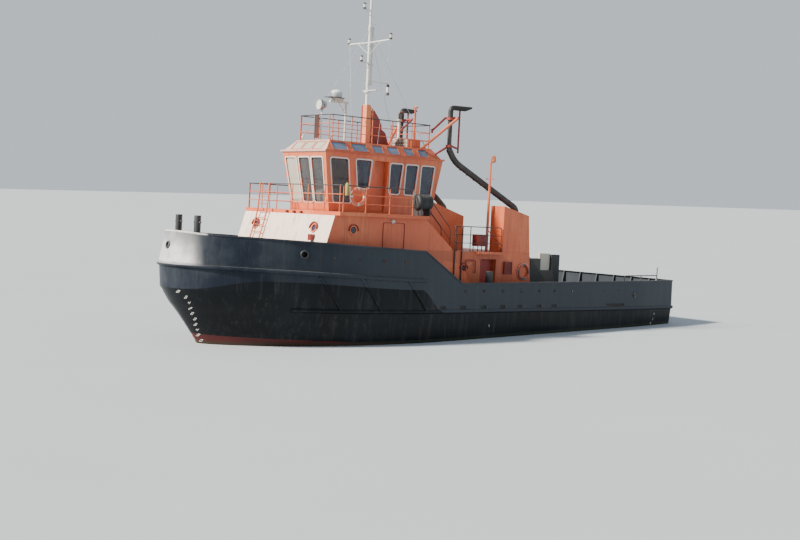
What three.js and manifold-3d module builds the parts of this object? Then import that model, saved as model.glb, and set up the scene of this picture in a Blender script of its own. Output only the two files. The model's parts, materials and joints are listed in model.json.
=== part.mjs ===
// Offshore support tug, 26.5 m long, afloat at its working draught.
// Millimetres. +X bow, +Y port, +Z up, origin amidships on the centreline at the waterline.
import * as THREE from "three";
import { mergeVertices } from "three/addons/utils/BufferGeometryUtils.js";
import Module from "manifold-3d";

const wasm = await Module();
wasm.setup();

// Clearances
const GAP = 0.3; // between pieces that rest on each other
const PLATE = 60; // deckhouse and wheelhouse walls
const FAR = 40000;

// Hull, one row for each level: the ends, the half beam, where the bow begins to close in,
// and the two powers of the bow's curve in plan
const HULL_LEVELS = [
  // z, stern, halfBeam, bowStart, bow, along, across
  [-2600, -4600, 2300, 1700, 6600, 1.9, 1.25],
  [-2100, -6700, 3300, 1900, 8900, 1.9, 1.3],
  [-1500, -8350, 3900, 2100, 10300, 1.85, 1.35],
  [-1050, -9600, 4080, 2300, 11000, 1.85, 1.4],
  [-720, -11200, 4170, 2500, 11400, 1.8, 1.45],
  [-500, -12600, 4220, 2600, 11600, 1.8, 1.48],
  [0, -12950, 4300, 2800, 11940, 1.75, 1.5],
  [970, -13080, 4370, 3100, 12650, 1.7, 1.65],
  [1350, -13100, 4400, 3400, 12950, 1.65, 1.78],
  [1950, -13100, 4400, 3740, 13290, 1.6, 2],
  [2860, -13100, 4400, 3740, 13390, 1.6, 2],
  [4200, -13100, 4380, 3740, 13130, 1.6, 2],
];
const QUARTER = 2800; // length of the chamfered quarter
const CORNER = 0.95; // half breadth of the transom, as a share of the half beam
const CORNER_RADIUS = 250;
const SIDE_SHARES = [0.25, 0.5, 0.7, 0.85];
const BOW_STEPS = 10;

// Decks and bulwarks
const MAIN_DECK = 1350;
const BREAK_X = 3740; // aft end of the forecastle
const FORE_DECK = [[BREAK_X, 2645], [9300, 2855], [13400, 2965]];
const RAIL_LINE = [[-13100, 2600], [1630, 2450], [BREAK_X, 3770], [8510, 3980], [12600, 4120], [13130, 4190]];
const BULWARK = 70;
const CAP = { high: 70, out: 25, inside: 110 };
const FREEING_PORTS = [2690, 1560, 350, -800, -1870, -3080, -4080];
const FREEING_PORT = { long: 330, high: 140 };
const LONG_PORT = [-9000, -7700];
const FAIRLEADS = [[9140, 3470, 120], [-9750, 1880, 120]]; // x, z, radius
const BOW_FAIRLEAD = { z: 3600, radius: 110 };

// Rubbing strakes and the diagonal bars between them
const STRAKE = { half: 85, deep: 95 };
const LOW_STRAKE = { from: 9420, z: 1250 };
const DIAGONALS = [[8550, 7490], [6820, 5760], [4660, 3560]]; // x at the top, x at the bottom

// Deckhouses
const HOUSE_SIDE = 3250;
const HOUSE_FRONT = { foot: 8410, head: 7670 };
const HOUSE_BACK = 2850;
const BRIDGE_DECK = { top: 5200, thick: 150, half: 3440, back: 2850, front: 7560 };
const AFT_HOUSE = { back: -3500, foot: -3710, top: 3750 }; // aft wall at its head and at its foot
const PORTHOLE = 150;
const DOOR_BAY = { x: [-1390, -420], z: [1450, 3430], deep: 300 };
const CASING_HALF = 1300;
// The tops are the heights at the fore and at the aft end
const UPTAKE = {
  x: [-3500, -1750], headAft: -3355, portInner: 2400, port: [5810, 5430], starboard: [5720, 5300],
};

// Wheelhouse
const WH_FOOT = { z: 5200, x: [950, 6560], half: 1320 };
const WH_EAVE = { z: 7660, x: [580, 7040], half: 1570 };
const WH_CROWN = { z: 8170, x: [950, 6550], half: 1160 };
const EAVE_LIP = { out: 60, z: [7661, 7730] };
const SIDE_WINDOWS = [
  // top aft, top front, bottom front, bottom aft, top z, bottom z
  [5860, 6740, 6370, 5510, 7400, 5610],
  [4590, 5400, 5170, 4630, 7410, 6260],
  [2870, 3520, 3450, 2930, 7350, 6100],
  [2000, 2640, 2590, 2050, 7350, 6100],
  [1050, 1760, 1710, 1110, 7350, 6100],
];
const FRONT_WINDOWS = [[-1350, -600], [-380, 350], [520, 1280]];
const BACK_WINDOWS = [[-1150, -300], [300, 1150]];
const SKYLIGHTS = [[5800, 6560], [4720, 5520], [3880, 4400], [2990, 3590], [2150, 2640], [1340, 1830]];
const FRONT_SKYLIGHTS = [[-1050, -450], [-300, 300], [450, 1050]];
const SKYLIGHT_Z = [7780, 8080];
const WH_DOOR = { x: [3640, 4410], z: [5300, 7430], face: 1270, thick: 50 };
const GLASS = 12;

// Mast and roof gear
const MAST_X = 3800;
const TOWER = { x: [3730, 3950], y: [-30, 220], top: 9900 };
const MAST_TOP = 16000;
const YARD_Z = 12600;
const ROOF_RAIL = { x: [930, 6550], half: 1130, high: 1050 };
const RADAR = { x: 5450, z: 10060, radius: 245 };
const LOCKER = { x: [1440, 2170], y: [-50, 980], top: 8550 };
const SEARCHLIGHT = { x: 6400, y: 300, z: 9400 };
const EXHAUST = {
  x: 367, y: 1693, radius: 100,
  foot: [[-3190, 2550, 5400], [-2700, -1780, 5300]], // port, starboard
  mouth: { x: -667, y: 1903, z: 10050, radius: 112 },
};

// Gear on deck and below water
const WINCH = { x: -5800, z: 2400, half: 1300, flange: 900, barrel: 580, axle: 100, drive: 2880 };
const SIDE_BOLLARD = { x: -385, y: 3900, top: 2930, radius: 160 };
const CAPSTAN = { x: 10300, seat: 3150 };
const SHAFT = { y: 1900, z: -1850, end: -9500, radius: 90 };
const BLADE = {
  // distance from the shaft, half the chord
  edge: [[80, 140], [250, 215], [430, 245], [590, 225], [690, 160], [740, 60]],
  thick: 36,
  pitch: (55 * Math.PI) / 180,
  shift: -90,
};
const RUDDER_X = -10900;
const HATCH = { x: [-10900, -9900], half: 500, coaming: 300 };

const LIFERAFT = { x: 3270, y: 3440, z: 5770, radius: 330, half: 400, railEnd: 3760 };

// Colours
const ORANGE = { color: 0xd8572a, roughness: 0.5, metalness: 0.0 };
const BLACK = { color: 0x1d2126, roughness: 0.45, metalness: 0.1 };
const DARK = { color: 0x33373c, roughness: 0.6, metalness: 0.3 };
const WHITE = { color: 0xe9e9e4, roughness: 0.5, metalness: 0.0 };
const RED = { color: 0x9c2f22, roughness: 0.6, metalness: 0.0 };
const STEEL = { color: 0x8d9296, roughness: 0.45, metalness: 0.7 };
const BRONZE = { color: 0xa9853f, roughness: 0.35, metalness: 0.9 };
const PANE = { color: 0x5d7486, roughness: 0.1, metalness: 0.0 };

// Solids

function solid(geometry) {
  const bare = geometry.clone();
  bare.deleteAttribute("normal");
  bare.deleteAttribute("uv");
  const merged = mergeVertices(bare, 1e-3);
  return new wasm.Manifold(
    new wasm.Mesh({
      numProp: 3,
      vertProperties: new Float32Array(merged.attributes.position.array),
      triVerts: new Uint32Array(merged.index.array),
    }),
  );
}

function geometry(made) {
  const mesh = made.getMesh();
  const built = new THREE.BufferGeometry();
  built.setAttribute("position", new THREE.BufferAttribute(mesh.vertProperties, 3));
  built.setIndex(new THREE.BufferAttribute(mesh.triVerts, 1));
  built.computeVertexNormals();
  return built;
}

function union(pieces) {
  return pieces.reduce((all, piece) => all.add(piece));
}

function box(x, y, z) {
  const made = new THREE.BoxGeometry(x[1] - x[0], y[1] - y[0], z[1] - z[0]);
  made.translate((x[0] + x[1]) / 2, (y[0] + y[1]) / 2, (z[0] + z[1]) / 2);
  return solid(made);
}

// An outline pushed along one axis. Its points are (x, z) along y, (y, z) along x, (x, y) along z.
function prism(points, axis, from, to) {
  const shape = new THREE.Shape(points.map(([a, b]) => new THREE.Vector2(a, b)));
  const made = new THREE.ExtrudeGeometry(shape, { depth: to - from, bevelEnabled: false });
  const turn = new THREE.Matrix4();
  if (axis === "y") turn.set(1, 0, 0, 0, 0, 0, -1, to, 0, 1, 0, 0, 0, 0, 0, 1);
  if (axis === "x") turn.set(0, 0, 1, from, 1, 0, 0, 0, 0, 1, 0, 0, 0, 0, 0, 1);
  if (axis === "z") turn.makeTranslation(0, 0, from);
  return solid(made.applyMatrix4(turn));
}

function rod(a, b, radius, sides = 6, endRadius = radius) {
  const from = new THREE.Vector3(...a);
  const to = new THREE.Vector3(...b);
  const along = to.clone().sub(from);
  const first = Math.PI / sides;
  const made = new THREE.CylinderGeometry(endRadius, radius, along.length(), sides, 1, false, first);
  const up = new THREE.Vector3(0, 1, 0);
  made.applyQuaternion(new THREE.Quaternion().setFromUnitVectors(up, along.normalize()));
  const middle = from.add(to).multiplyScalar(0.5);
  return solid(made.translate(middle.x, middle.y, middle.z));
}

// A closed skin over rings of equal numbers of points, with each end closed across its ring
function skin(rings) {
  const count = rings[0].length;
  const index = [];
  for (let k = 0; k + 1 < rings.length; k += 1) {
    for (let i = 0; i < count; i += 1) {
      const j = (i + 1) % count;
      const [a, b, c, d] = [k * count + i, k * count + j, (k + 1) * count + j, (k + 1) * count + i];
      index.push(a, b, c, a, c, d);
    }
  }
  const last = (rings.length - 1) * count;
  for (let low = 0, high = count; low + 1 < high; low += 1, high -= 1) {
    const [a, b, c, d] = [low, low + 1, high - 1, high % count];
    for (const face of [[a, b, c], [a, c, d]]) {
      if (new Set(face).size < 3) continue;
      index.push(face[0], face[2], face[1]);
      index.push(last + face[0], last + face[1], last + face[2]);
    }
  }
  const made = new THREE.BufferGeometry();
  const flat = rings.flat().flatMap((p) => [p.x, p.y, p.z]);
  made.setAttribute("position", new THREE.BufferAttribute(new Float32Array(flat), 3));
  made.setIndex(inside(flat, index) ? index.reverse() : index);
  return solid(made);
}

// Whether the faces of a closed skin point inwards: its signed volume is negative
function inside(flat, index) {
  let sum = 0;
  const at = (i) => new THREE.Vector3(flat[3 * i], flat[3 * i + 1], flat[3 * i + 2]);
  for (let i = 0; i < index.length; i += 3) {
    sum += at(index[i]).dot(at(index[i + 1]).cross(at(index[i + 2])));
  }
  return sum < 0;
}

// A pipe through the given points, mitred at each
function pipe(points, radius, sides = 8) {
  const path = points.map((p) => new THREE.Vector3(...p));
  const runs = path.slice(1).map((at, i) => at.clone().sub(path[i]).normalize());
  const upright = Math.abs(runs[0].z) > 0.9;
  let normal = new THREE.Vector3(upright ? 1 : 0, 0, upright ? 0 : 1);
  normal.addScaledVector(runs[0], -normal.dot(runs[0])).normalize();
  const rings = path.map((at, i) => {
    const before = runs[Math.max(i - 1, 0)];
    const after = runs[Math.min(i, runs.length - 1)];
    const mitre = before.clone().add(after).normalize();
    const across = before.clone().cross(normal);
    const points = Array.from({ length: sides }, (_, k) => {
      const turn = (2 * Math.PI * (k + 0.5)) / sides;
      const arm = normal.clone().multiplyScalar(radius * Math.cos(turn))
        .addScaledVector(across, radius * Math.sin(turn));
      return arm.addScaledVector(before, -arm.dot(mitre) / before.dot(mitre)).add(at);
    });
    normal = normal.clone().applyQuaternion(new THREE.Quaternion().setFromUnitVectors(before, after));
    return points;
  });
  return skin(rings);
}

// A quarter bend's points, between two corners' arms
function bend(before, corner, after, steps = 3) {
  const [a, b, c] = [before, corner, after].map((p) => new THREE.Vector3(...p));
  const curve = new THREE.QuadraticBezierCurve3(a, b, c);
  return curve.getPoints(steps).map((p) => p.toArray());
}

function lathe(profile, axisPoint, direction, sides = 16) {
  const made = new THREE.LatheGeometry(profile.map(([r, h]) => new THREE.Vector2(r, h)), sides);
  const up = new THREE.Vector3(0, 1, 0);
  const along = new THREE.Vector3(...direction);
  made.applyQuaternion(new THREE.Quaternion().setFromUnitVectors(up, along));
  return solid(made.translate(...axisPoint));
}

// Value of a line of [x, value] points at x
function onLine(line, x) {
  const clamped = Math.min(Math.max(x, line[0][0]), line[line.length - 1][0]);
  const next = Math.max(1, line.findIndex((p) => p[0] >= clamped));
  const [[x0, v0], [x1, v1]] = [line[next - 1], line[next]];
  return v0 + ((v1 - v0) * (clamped - x0)) / (x1 - x0);
}

// Hull form

// Port half of one level, from the transom's middle round to the stem
function levelOutline([, stern, halfBeam, bowStart, bow, along, across]) {
  const corner = halfBeam * CORNER;
  const quarter = stern + QUARTER;
  const points = [
    [stern, 0],
    [stern, corner - CORNER_RADIUS],
    [stern + 0.3 * CORNER_RADIUS, corner - 0.3 * CORNER_RADIUS],
    [stern + CORNER_RADIUS, corner],
    [quarter, halfBeam],
    ...SIDE_SHARES.map((share) => [quarter + (bowStart - quarter) * share, halfBeam]),
  ];
  for (let i = 0; i <= BOW_STEPS; i += 1) {
    const turn = (Math.PI / 2) * (i / BOW_STEPS);
    const x = bowStart + (bow - bowStart) * Math.sin(turn) ** (2 / along);
    points.push([x, i < BOW_STEPS ? halfBeam * Math.cos(turn) ** (2 / across) : 0]);
  }
  return points;
}

const OUTLINES = HULL_LEVELS.map(levelOutline);

// Port half of the hull's plan at any height, grown outwards by an amount
function halfOutline(z, grow = 0) {
  const high = Math.max(1, HULL_LEVELS.findIndex((row) => row[0] >= z));
  const share = (z - HULL_LEVELS[high - 1][0]) / (HULL_LEVELS[high][0] - HULL_LEVELS[high - 1][0]);
  const points = OUTLINES[high - 1].map(([x, y], i) => [
    x + (OUTLINES[high][i][0] - x) * share,
    y + (OUTLINES[high][i][1] - y) * share,
  ]);
  return points.map(([x, y], i) => {
    const [px, py] = points[Math.max(i - 1, 0)];
    const [nx, ny] = points[Math.min(i + 1, points.length - 1)];
    if (i === 0) return [x - grow, 0];
    if (i === points.length - 1) return [x + grow, 0];
    const length = Math.hypot(nx - px, ny - py);
    return [x - (grow * (ny - py)) / length, y + (grow * (nx - px)) / length];
  });
}

// Whole ring at a height, where height is a number or a function of x
function ring(z, grow = 0, height = z) {
  const at = typeof height === "function" ? height : () => height;
  const half = halfOutline(z, grow);
  const port = half.map(([x, y]) => new THREE.Vector3(x, y, at(x)));
  const starboard = half.slice(1, -1).reverse().map(([x, y]) => new THREE.Vector3(x, -y, at(x)));
  return [...port, ...starboard];
}

function breadthAt(x, z) {
  return onLine(halfOutline(z).slice(4), x);
}

const foreDeck = (x) => onLine(FORE_DECK, x);
const railLine = (x) => onLine(RAIL_LINE, x);

// Hull plating up to its decks, grown by an amount when it is used to trim what rests on it
function hullForm(grow = 0) {
  const levels = HULL_LEVELS.map((row) => row[0]).filter((z) => z < MAIN_DECK);
  const lower = skin([...levels.map((z) => ring(z, grow)), ring(MAIN_DECK, grow, MAIN_DECK + grow)]);
  const upper = skin([ring(MAIN_DECK, grow), ring(1950, grow), ring(2700, grow, (x) => foreDeck(x) + grow)]);
  return lower.add(upper.intersect(box([BREAK_X - grow, FAR], [-FAR, FAR], [0, FAR])));
}

const RESTS = hullForm(GAP);
const WALLS = skin([ring(MAIN_DECK, GAP), ring(4200, GAP, railLine)]);

function sternGear() {
  const pieces = [];
  for (const side of [-1, 1]) {
    const y = side * SHAFT.y;
    pieces.push(rod([-6500, y, SHAFT.z], [SHAFT.end, y, SHAFT.z], SHAFT.radius, 12));
    for (const lean of [-1, 1]) {
      pieces.push(rod([-9300, y, SHAFT.z], [-9000, y + lean * 450, -800], 60, 6));
    }
    pieces.push(rod([RUDDER_X, y, -500], [RUDDER_X, y, -930], 130, 12));
  }
  const skeg = [[-4000, -2600], [-9700, -1050], [-9700, -1500], [-6500, -2600]];
  pieces.push(prism(skeg, "y", -110, 110));
  return union(pieces);
}

function hull() {
  const coaming = box(HATCH.x, [-HATCH.half, HATCH.half], [MAIN_DECK - 50, MAIN_DECK + HATCH.coaming]);
  const well = box(
    [HATCH.x[0] + 40, HATCH.x[1] - 40],
    [40 - HATCH.half, HATCH.half - 40],
    [MAIN_DECK - 400, MAIN_DECK + 2 * HATCH.coaming],
  );
  return hullForm().add(sternGear()).add(coaming).subtract(well);
}

// Bulwark all round, with its cap rail
function bulwark(low, lowZ) {
  const inner = low.z;
  const outer = skin([ring(inner, 0, lowZ), ring(4200, 0, railLine)]);
  const hollow = skin([
    ring(inner, -BULWARK, (x) => lowZ(x) - 100),
    ring(4200, -BULWARK, (x) => railLine(x) + 100),
  ]);
  const capOut = skin([ring(4200, CAP.out, (x) => railLine(x) - CAP.high), ring(4200, CAP.out, railLine)]);
  const capIn = skin([
    ring(4200, -CAP.inside, (x) => railLine(x) - 2 * CAP.high),
    ring(4200, -CAP.inside, (x) => railLine(x) + CAP.high),
  ]);
  return outer.subtract(hollow).add(capOut.subtract(capIn));
}

function foreBulwark() {
  const wall = bulwark({ z: 2700 }, (x) => foreDeck(x) + GAP);
  const part = wall.intersect(box([BREAK_X + GAP, FAR], [-FAR, FAR], [-FAR, FAR]));
  const [x, z, radius] = FAIRLEADS[0];
  const lead = rod([12000, 0, BOW_FAIRLEAD.z], [14000, 0, BOW_FAIRLEAD.z], BOW_FAIRLEAD.radius, 12);
  return part.subtract(rod([x, -5000, z], [x, 5000, z], radius, 12)).subtract(lead);
}

function aftBulwark() {
  const wall = bulwark({ z: MAIN_DECK }, () => MAIN_DECK);
  const part = wall.intersect(box([-FAR, BREAK_X], [-FAR, FAR], [-FAR, FAR]));
  const [x, z, radius] = FAIRLEADS[1];
  const low = MAIN_DECK - 50;
  const ports = FREEING_PORTS.map((at) => {
    const half = FREEING_PORT.long / 2;
    return box([at - half, at + half], [-5000, 5000], [low, MAIN_DECK + FREEING_PORT.high]);
  });
  ports.push(box(LONG_PORT, [-5000, 5000], [low, MAIN_DECK + FREEING_PORT.high]));
  return part.subtract(union([rod([x, -5000, z], [x, 5000, z], radius, 12), ...ports]));
}

// A half-round bar along the hull at a line of heights
function strake(line) {
  const { half, deep } = STRAKE;
  const offsets = [[-half, 0.3], [0, 1], [half, 0.3]];
  const middle = typeof line === "function" ? 2650 : line;
  const at = typeof line === "function" ? line : () => line;
  return skin(offsets.map(([dz, share]) => ring(middle + dz, share * deep, (x) => at(x) + dz)));
}

function diagonal([topX, footX], side) {
  const end = (x, z) => {
    const y = breadthAt(x, z);
    const corners = [[-65, y - 60], [65, y - 60], [65, y + 75], [-65, y + 75]];
    return corners.map(([dx, across]) => new THREE.Vector3(x + dx, side * across, z));
  };
  return skin([end(topX, 2640), end((topX + footX) / 2, 1950), end(footX, 1250)]);
}

function fenderBelt() {
  const high = strake((x) => foreDeck(x) - 105).intersect(box([BREAK_X, FAR], [-FAR, FAR], [0, FAR]));
  const low = strake(LOW_STRAKE.z).intersect(box([-FAR, LOW_STRAKE.from], [-FAR, FAR], [0, FAR]));
  const bars = [-1, 1].flatMap((side) => DIAGONALS.map((row) => diagonal(row, side)));
  return union([high, low, ...bars]).subtract(RESTS).subtract(WALLS);
}

// Houses

function forwardHouse() {
  const { foot, head } = HOUSE_FRONT;
  const roof = BRIDGE_DECK.top - BRIDGE_DECK.thick;
  const edge = BREAK_X + 2;
  const outline = [
    [foot, 2700], [head, roof], [HOUSE_BACK, roof], [HOUSE_BACK, AFT_HOUSE.top],
    [edge, AFT_HOUSE.top], [edge, 2600], [foot + 30, 2600],
  ];
  const room = [
    [foot - 50, 2500], [head - 70, roof - PLATE], [HOUSE_BACK + PLATE, roof - PLATE],
    [HOUSE_BACK + PLATE, 3700], [edge + PLATE, 3700], [edge + PLATE, 2500],
  ];
  const wing = [[2900, 3750], [1300, 3750], [1300, 3860], [2820, 5040], [2900, 5040]];
  const wings = [-1, 1].map((side) => {
    const [from, to] = side > 0 ? [HOUSE_SIDE - PLATE, HOUSE_SIDE] : [-HOUSE_SIDE, PLATE - HOUSE_SIDE];
    return prism(wing, "y", from, to);
  });
  const inner = HOUSE_SIDE - PLATE;
  const holes = [
    rod([6730, -4000, 4490], [6730, 4000, 4490], PORTHOLE, 12),
    ...[-2120, 2120].map((y) => rod([7000, y, 4500], [9000, y, 4500], PORTHOLE, 12)),
  ];
  return union([prism(outline, "y", -HOUSE_SIDE, HOUSE_SIDE), ...wings])
    .subtract(prism(room, "y", -inner, inner)).subtract(union(holes)).subtract(RESTS);
}

function hingeBarrels(x, y, heights, towards, upper) {
  return heights.map((z) => {
    const from = upper ? z + 60 + GAP : z;
    const lug = box(sorted(x, x + towards), sorted(y, y * 0.995), [from, from + 60]);
    return rod([x, y, from], [x, y, from + 60], 14, 8).add(lug);
  });
}

function sorted(a, b) {
  return a < b ? [a, b] : [b, a];
}

function sideways(side, a, b) {
  return sorted(side * a, side * b);
}

const BAY = {
  hinge: [DOOR_BAY.x[0] + 30, HOUSE_SIDE - DOOR_BAY.deep + 60],
  heights: [1750, 3050],
};

function doorBay(side) {
  const { x, z, deep } = DOOR_BAY;
  const back = HOUSE_SIDE - deep;
  return {
    block: box(
      [x[0] - PLATE, x[1] + PLATE],
      sideways(side, back - PLATE, HOUSE_SIDE),
      [MAIN_DECK, z[1] + PLATE],
    ),
    space: box(x, sideways(side, back, HOUSE_SIDE + 200), z),
    way: box([x[0] + 70, x[1] - 70], sideways(side, back - 100, back + 10), [z[0], z[1] - 60]),
    lugs: union(hingeBarrels(BAY.hinge[0], side * BAY.hinge[1], BAY.heights, -40, true)),
  };
}

function aftHouse() {
  const end = BREAK_X - 1;
  const { back, foot, top } = AFT_HOUSE;
  const bays = [-1, 1].map(doorBay);
  const inner = HOUSE_SIDE - PLATE;
  const outline = [[foot, MAIN_DECK], [end, MAIN_DECK], [end, top], [back, top]];
  const room = [
    [foot + PLATE, MAIN_DECK - 100], [end - PLATE, MAIN_DECK - 100],
    [end - PLATE, top - PLATE], [back + PLATE, top - PLATE],
  ];
  let made = prism(outline, "y", -HOUSE_SIDE, HOUSE_SIDE).subtract(prism(room, "y", -inner, inner));
  made = made.add(union(bays.map((bay) => bay.block)));
  made = made.subtract(union(bays.flatMap((bay) => [bay.space, bay.way])));
  const lips = [-1, 1].map((side) => {
    return box([-1800, -100], sideways(side, HOUSE_SIDE - 50, HOUSE_SIDE + 330), [top - 90, top]);
  });
  const light = rod([590, -4000, 3020], [590, 4000, 3020], 130, 12);
  return made.add(union(lips)).subtract(light).add(union(bays.map((bay) => bay.lugs)));
}

function houseDoor(side) {
  const { x, z, deep } = DOOR_BAY;
  const back = HOUSE_SIDE - deep;
  const face = sideways(side, back + 6, back + 50);
  const leaf = box([x[0] + 45, x[1] - 45], face, [z[0] + 10, z[1] - 40]);
  const lugs = hingeBarrels(BAY.hinge[0], side * BAY.hinge[1], BAY.heights, 40, false);
  const near = [BAY.hinge[0] + 16, BAY.hinge[0] + 40];
  const arms = BAY.heights.map((from) => box(near, sideways(side, back + 40, back + 61), [from, from + 60]));
  const handle = rod([x[1] - 130, side * (back + 45), 2400], [x[1] - 130, side * (back + 100), 2400], 14, 6);
  const grip = rod([x[1] - 130, side * (back + 92), 2400], [x[1] - 260, side * (back + 92), 2400], 14, 6);
  return union([leaf, ...lugs, ...arms, handle, grip]);
}

function casing() {
  const fore = HOUSE_BACK - 2;
  const { top } = AFT_HOUSE;
  const step = WH_FOOT.z;
  const outline = [[fore, top], [-1110, top], [-1110, 5280], [800, 5840], [895, step], [fore, step]];
  return prism(outline, "y", -CASING_HALF, CASING_HALF);
}

function uptake(inner, outer, [front, back]) {
  const [aft, fore] = UPTAKE.x;
  const { top } = AFT_HOUSE;
  return prism([[aft, top], [fore, top], [fore, front], [UPTAKE.headAft, back]], "y", inner, outer);
}

function bridgeDeck() {
  const { top, thick, half, back, front } = BRIDGE_DECK;
  return box([back, front], [-half, half], [top - thick, top]);
}

// Rails

// Posts and level bars along a run of corners, at given heights above its foot
function railing(corners, heights, spacing, radius = 22) {
  const pieces = [];
  for (let i = 0; i + 1 < corners.length; i += 1) {
    const [a, b] = [new THREE.Vector3(...corners[i]), new THREE.Vector3(...corners[i + 1])];
    const count = Math.max(1, Math.round(a.distanceTo(b) / spacing));
    for (let k = i ? 1 : 0; k <= count; k += 1) {
      const at = a.clone().lerp(b, k / count);
      pieces.push(rod(at.toArray(), [at.x, at.y, at.z + heights[0]], radius + 3, 4));
    }
  }
  for (const high of heights) {
    pieces.push(pipe(corners.map(([x, y, z]) => [x, y, z + high]), radius, 4));
  }
  return union(pieces);
}

function bridgeRail() {
  const { top, half, front, back } = BRIDGE_DECK;
  const [y, x] = [half - 40, front - 60];
  const corners = [[LIFERAFT.railEnd, y, top], [x, y, top], [x, -y, top], [back + 60, -y, top]];
  return railing(corners, [1060, 700, 350], 1150);
}

function roofRail() {
  const { x, half, high } = ROOF_RAIL;
  const z = WH_CROWN.z;
  const near = x[1] - 40;
  const corners = [[x[0] + 500, -half, z], [x[0] + 60, -half, z], [x[0] + 60, half, z], [near, half, z]];
  corners.push([near, -half, z], [x[0] + 1400, -half, z]);
  const posts = [-1, 1].map((side) => {
    return box([x[0] + 20, x[0] + 200], sideways(side, half - 90, half + 90), [z, z + 940]);
  });
  return union([railing(corners, [high, 700, 350], 1150), ...posts]).subtract(roofForm(GAP));
}

function sternRail(side) {
  const points = [-8960, -10200, -11440].map((x) => [x, railLine(x)]);
  const y = (x) => side * (breadthAt(x, MAIN_DECK) - 45);
  const top = 250;
  const bar = points.map(([x, z]) => [x, y(x), z + top]);
  const posts = points.map(([x, z]) => rod([x, y(x), z + 2 * GAP], [x, y(x), z + top], 40, 6));
  const [lastX, lastZ] = points[2];
  posts.push(rod([lastX, y(lastX), lastZ + top], [lastX, y(lastX), lastZ + 650], 40, 6));
  return union([pipe(bar, 42, 6), ...posts]);
}

// Rail along the aft house's roof, held at its fore end by two tall poles on the main deck
function roofEdgeRail(side) {
  const [inner, outer] = [side * (HOUSE_SIDE - 40), side * (HOUSE_SIDE + 33)];
  const [top, aft] = [4830, -1690];
  const poles = [1150, 740].map((x) => rod([x, outer, MAIN_DECK], [x, outer, top], 32, 6));
  const arms = [1150, 740].map((x) => rod([x, outer, top], [x, inner, top], 22, 4));
  const posts = [1000, 200, -750, aft].map((x) => rod([x, inner, AFT_HOUSE.top], [x, inner, top], 24, 4));
  const bars = [top, 4470, 4110].map((z) => rod([1174, inner, z], [aft - 24, inner, z], 24, 4));
  return union([...poles, ...arms, ...posts, ...bars]);
}

// Ladder and stairs

function bowLadder() {
  const run = [[7720, 6290], [7800, 5050], [8530, 2700]]; // x, z: upright, then along the house front
  const sides = [-2110, -1410];
  const rungs = 12;
  const pieces = sides.map((y) => pipe(run.map(([x, z]) => [x, y, z]), 32, 4));
  for (let i = 1; i < rungs; i += 1) {
    const z = run[0][1] + ((run[2][1] - run[0][1]) * i) / rungs;
    const x = onLine([...run].reverse().map(([along, high]) => [high, along]), z);
    pieces.push(rod([x, sides[0], z], [x, sides[1], z], 17, 4));
  }
  pieces.push(...sides.map((y) => rod([7530, y, 6250], [7730, y, 6250], 20, 6)));
  return union(pieces).subtract(RESTS);
}

function stair(side) {
  const [high, low] = [[HOUSE_BACK - 2, BRIDGE_DECK.top - 20], [1350, AFT_HOUSE.top]];
  const pieces = [];
  for (const y of [2560, 3150]) {
    const outline = [high, [high[0], high[1] - 240], [low[0] + 160, low[1]], [low[0] - 60, low[1]]];
    pieces.push(prism(outline, "y", ...sideways(side, y - 15, y + 15)));
    const newel = high[0] - 22;
    const rail = [[newel, side * y, high[1] + 950], [low[0], side * y, low[1] + 950]];
    pieces.push(pipe([[newel, side * y, high[1] - 100], ...rail, [low[0], side * y, low[1] + 20]], 18, 4));
  }
  const steps = 6;
  for (let i = 1; i <= steps; i += 1) {
    const share = i / (steps + 0.6);
    const x = high[0] + (low[0] - high[0]) * share;
    const z = high[1] - 60 + (low[1] - high[1]) * share;
    pieces.push(box([x - 120, x + 100], sideways(side, 2560, 3150), [z - 30, z]));
  }
  return union(pieces);
}

// Wheelhouse

// Four-sided body through two levels, carried on beyond them, with its walls moved in
function lean(low, high, from, to, inset = 0) {
  const rings = [from, to].map((z) => {
    const share = (z - low.z) / (high.z - low.z);
    const mix = (a, b) => a + (b - a) * share;
    const [x0, x1] = [mix(low.x[0], high.x[0]) + inset, mix(low.x[1], high.x[1]) - inset];
    const y = mix(low.half, high.half) - inset;
    return [[x0, -y], [x1, -y], [x1, y], [x0, y]].map(([x, across]) => new THREE.Vector3(x, across, z));
  });
  return skin(rings);
}

function windowCuts() {
  const sides = SIDE_WINDOWS.flatMap(([topAft, topFore, footFore, footAft, top, foot]) => {
    const outline = [[topAft, top], [topFore, top], [footFore, foot], [footAft, foot]];
    return [prism(outline, "y", 1100, 1900), prism(outline, "y", -1900, -1100)];
  });
  const front = FRONT_WINDOWS.map(([a, b]) => {
    return prism([[a, 7400], [b, 7400], [b * 0.9, 5590], [a * 0.9, 5590]], "x", 6300, 7300);
  });
  const back = BACK_WINDOWS.map(([a, b]) => box([300, 1200], [a, b], [6300, 7350]));
  return union([...sides, ...front, ...back]);
}

const DOOR_HEIGHTS = [5600, 7000];
const DOOR_AXIS = [WH_DOOR.x[0] + 16, WH_DOOR.face + 15];

function wheelhouse() {
  const { x, z, face, thick } = WH_DOOR;
  const outer = lean(WH_FOOT, WH_EAVE, WH_FOOT.z, WH_EAVE.z);
  const room = lean(WH_FOOT, WH_EAVE, WH_FOOT.z - 100, WH_EAVE.z + 100, PLATE);
  const porches = [-1, 1].map((side) => {
    return box([x[0] - 70, x[1] + 70], sideways(side, face - thick - 60, 1700), [WH_FOOT.z, z[1] + 80]);
  });
  const ways = [-1, 1].map((side) => box(x, sideways(side, 1000, 1900), z));
  const walls = outer.subtract(room).subtract(windowCuts());
  const lugs = [-1, 1].flatMap((side) => {
    return hingeBarrels(DOOR_AXIS[0], side * DOOR_AXIS[1], DOOR_HEIGHTS, -30, true);
  });
  return walls.add(union(porches).intersect(outer)).subtract(union(ways)).add(union(lugs));
}

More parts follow.
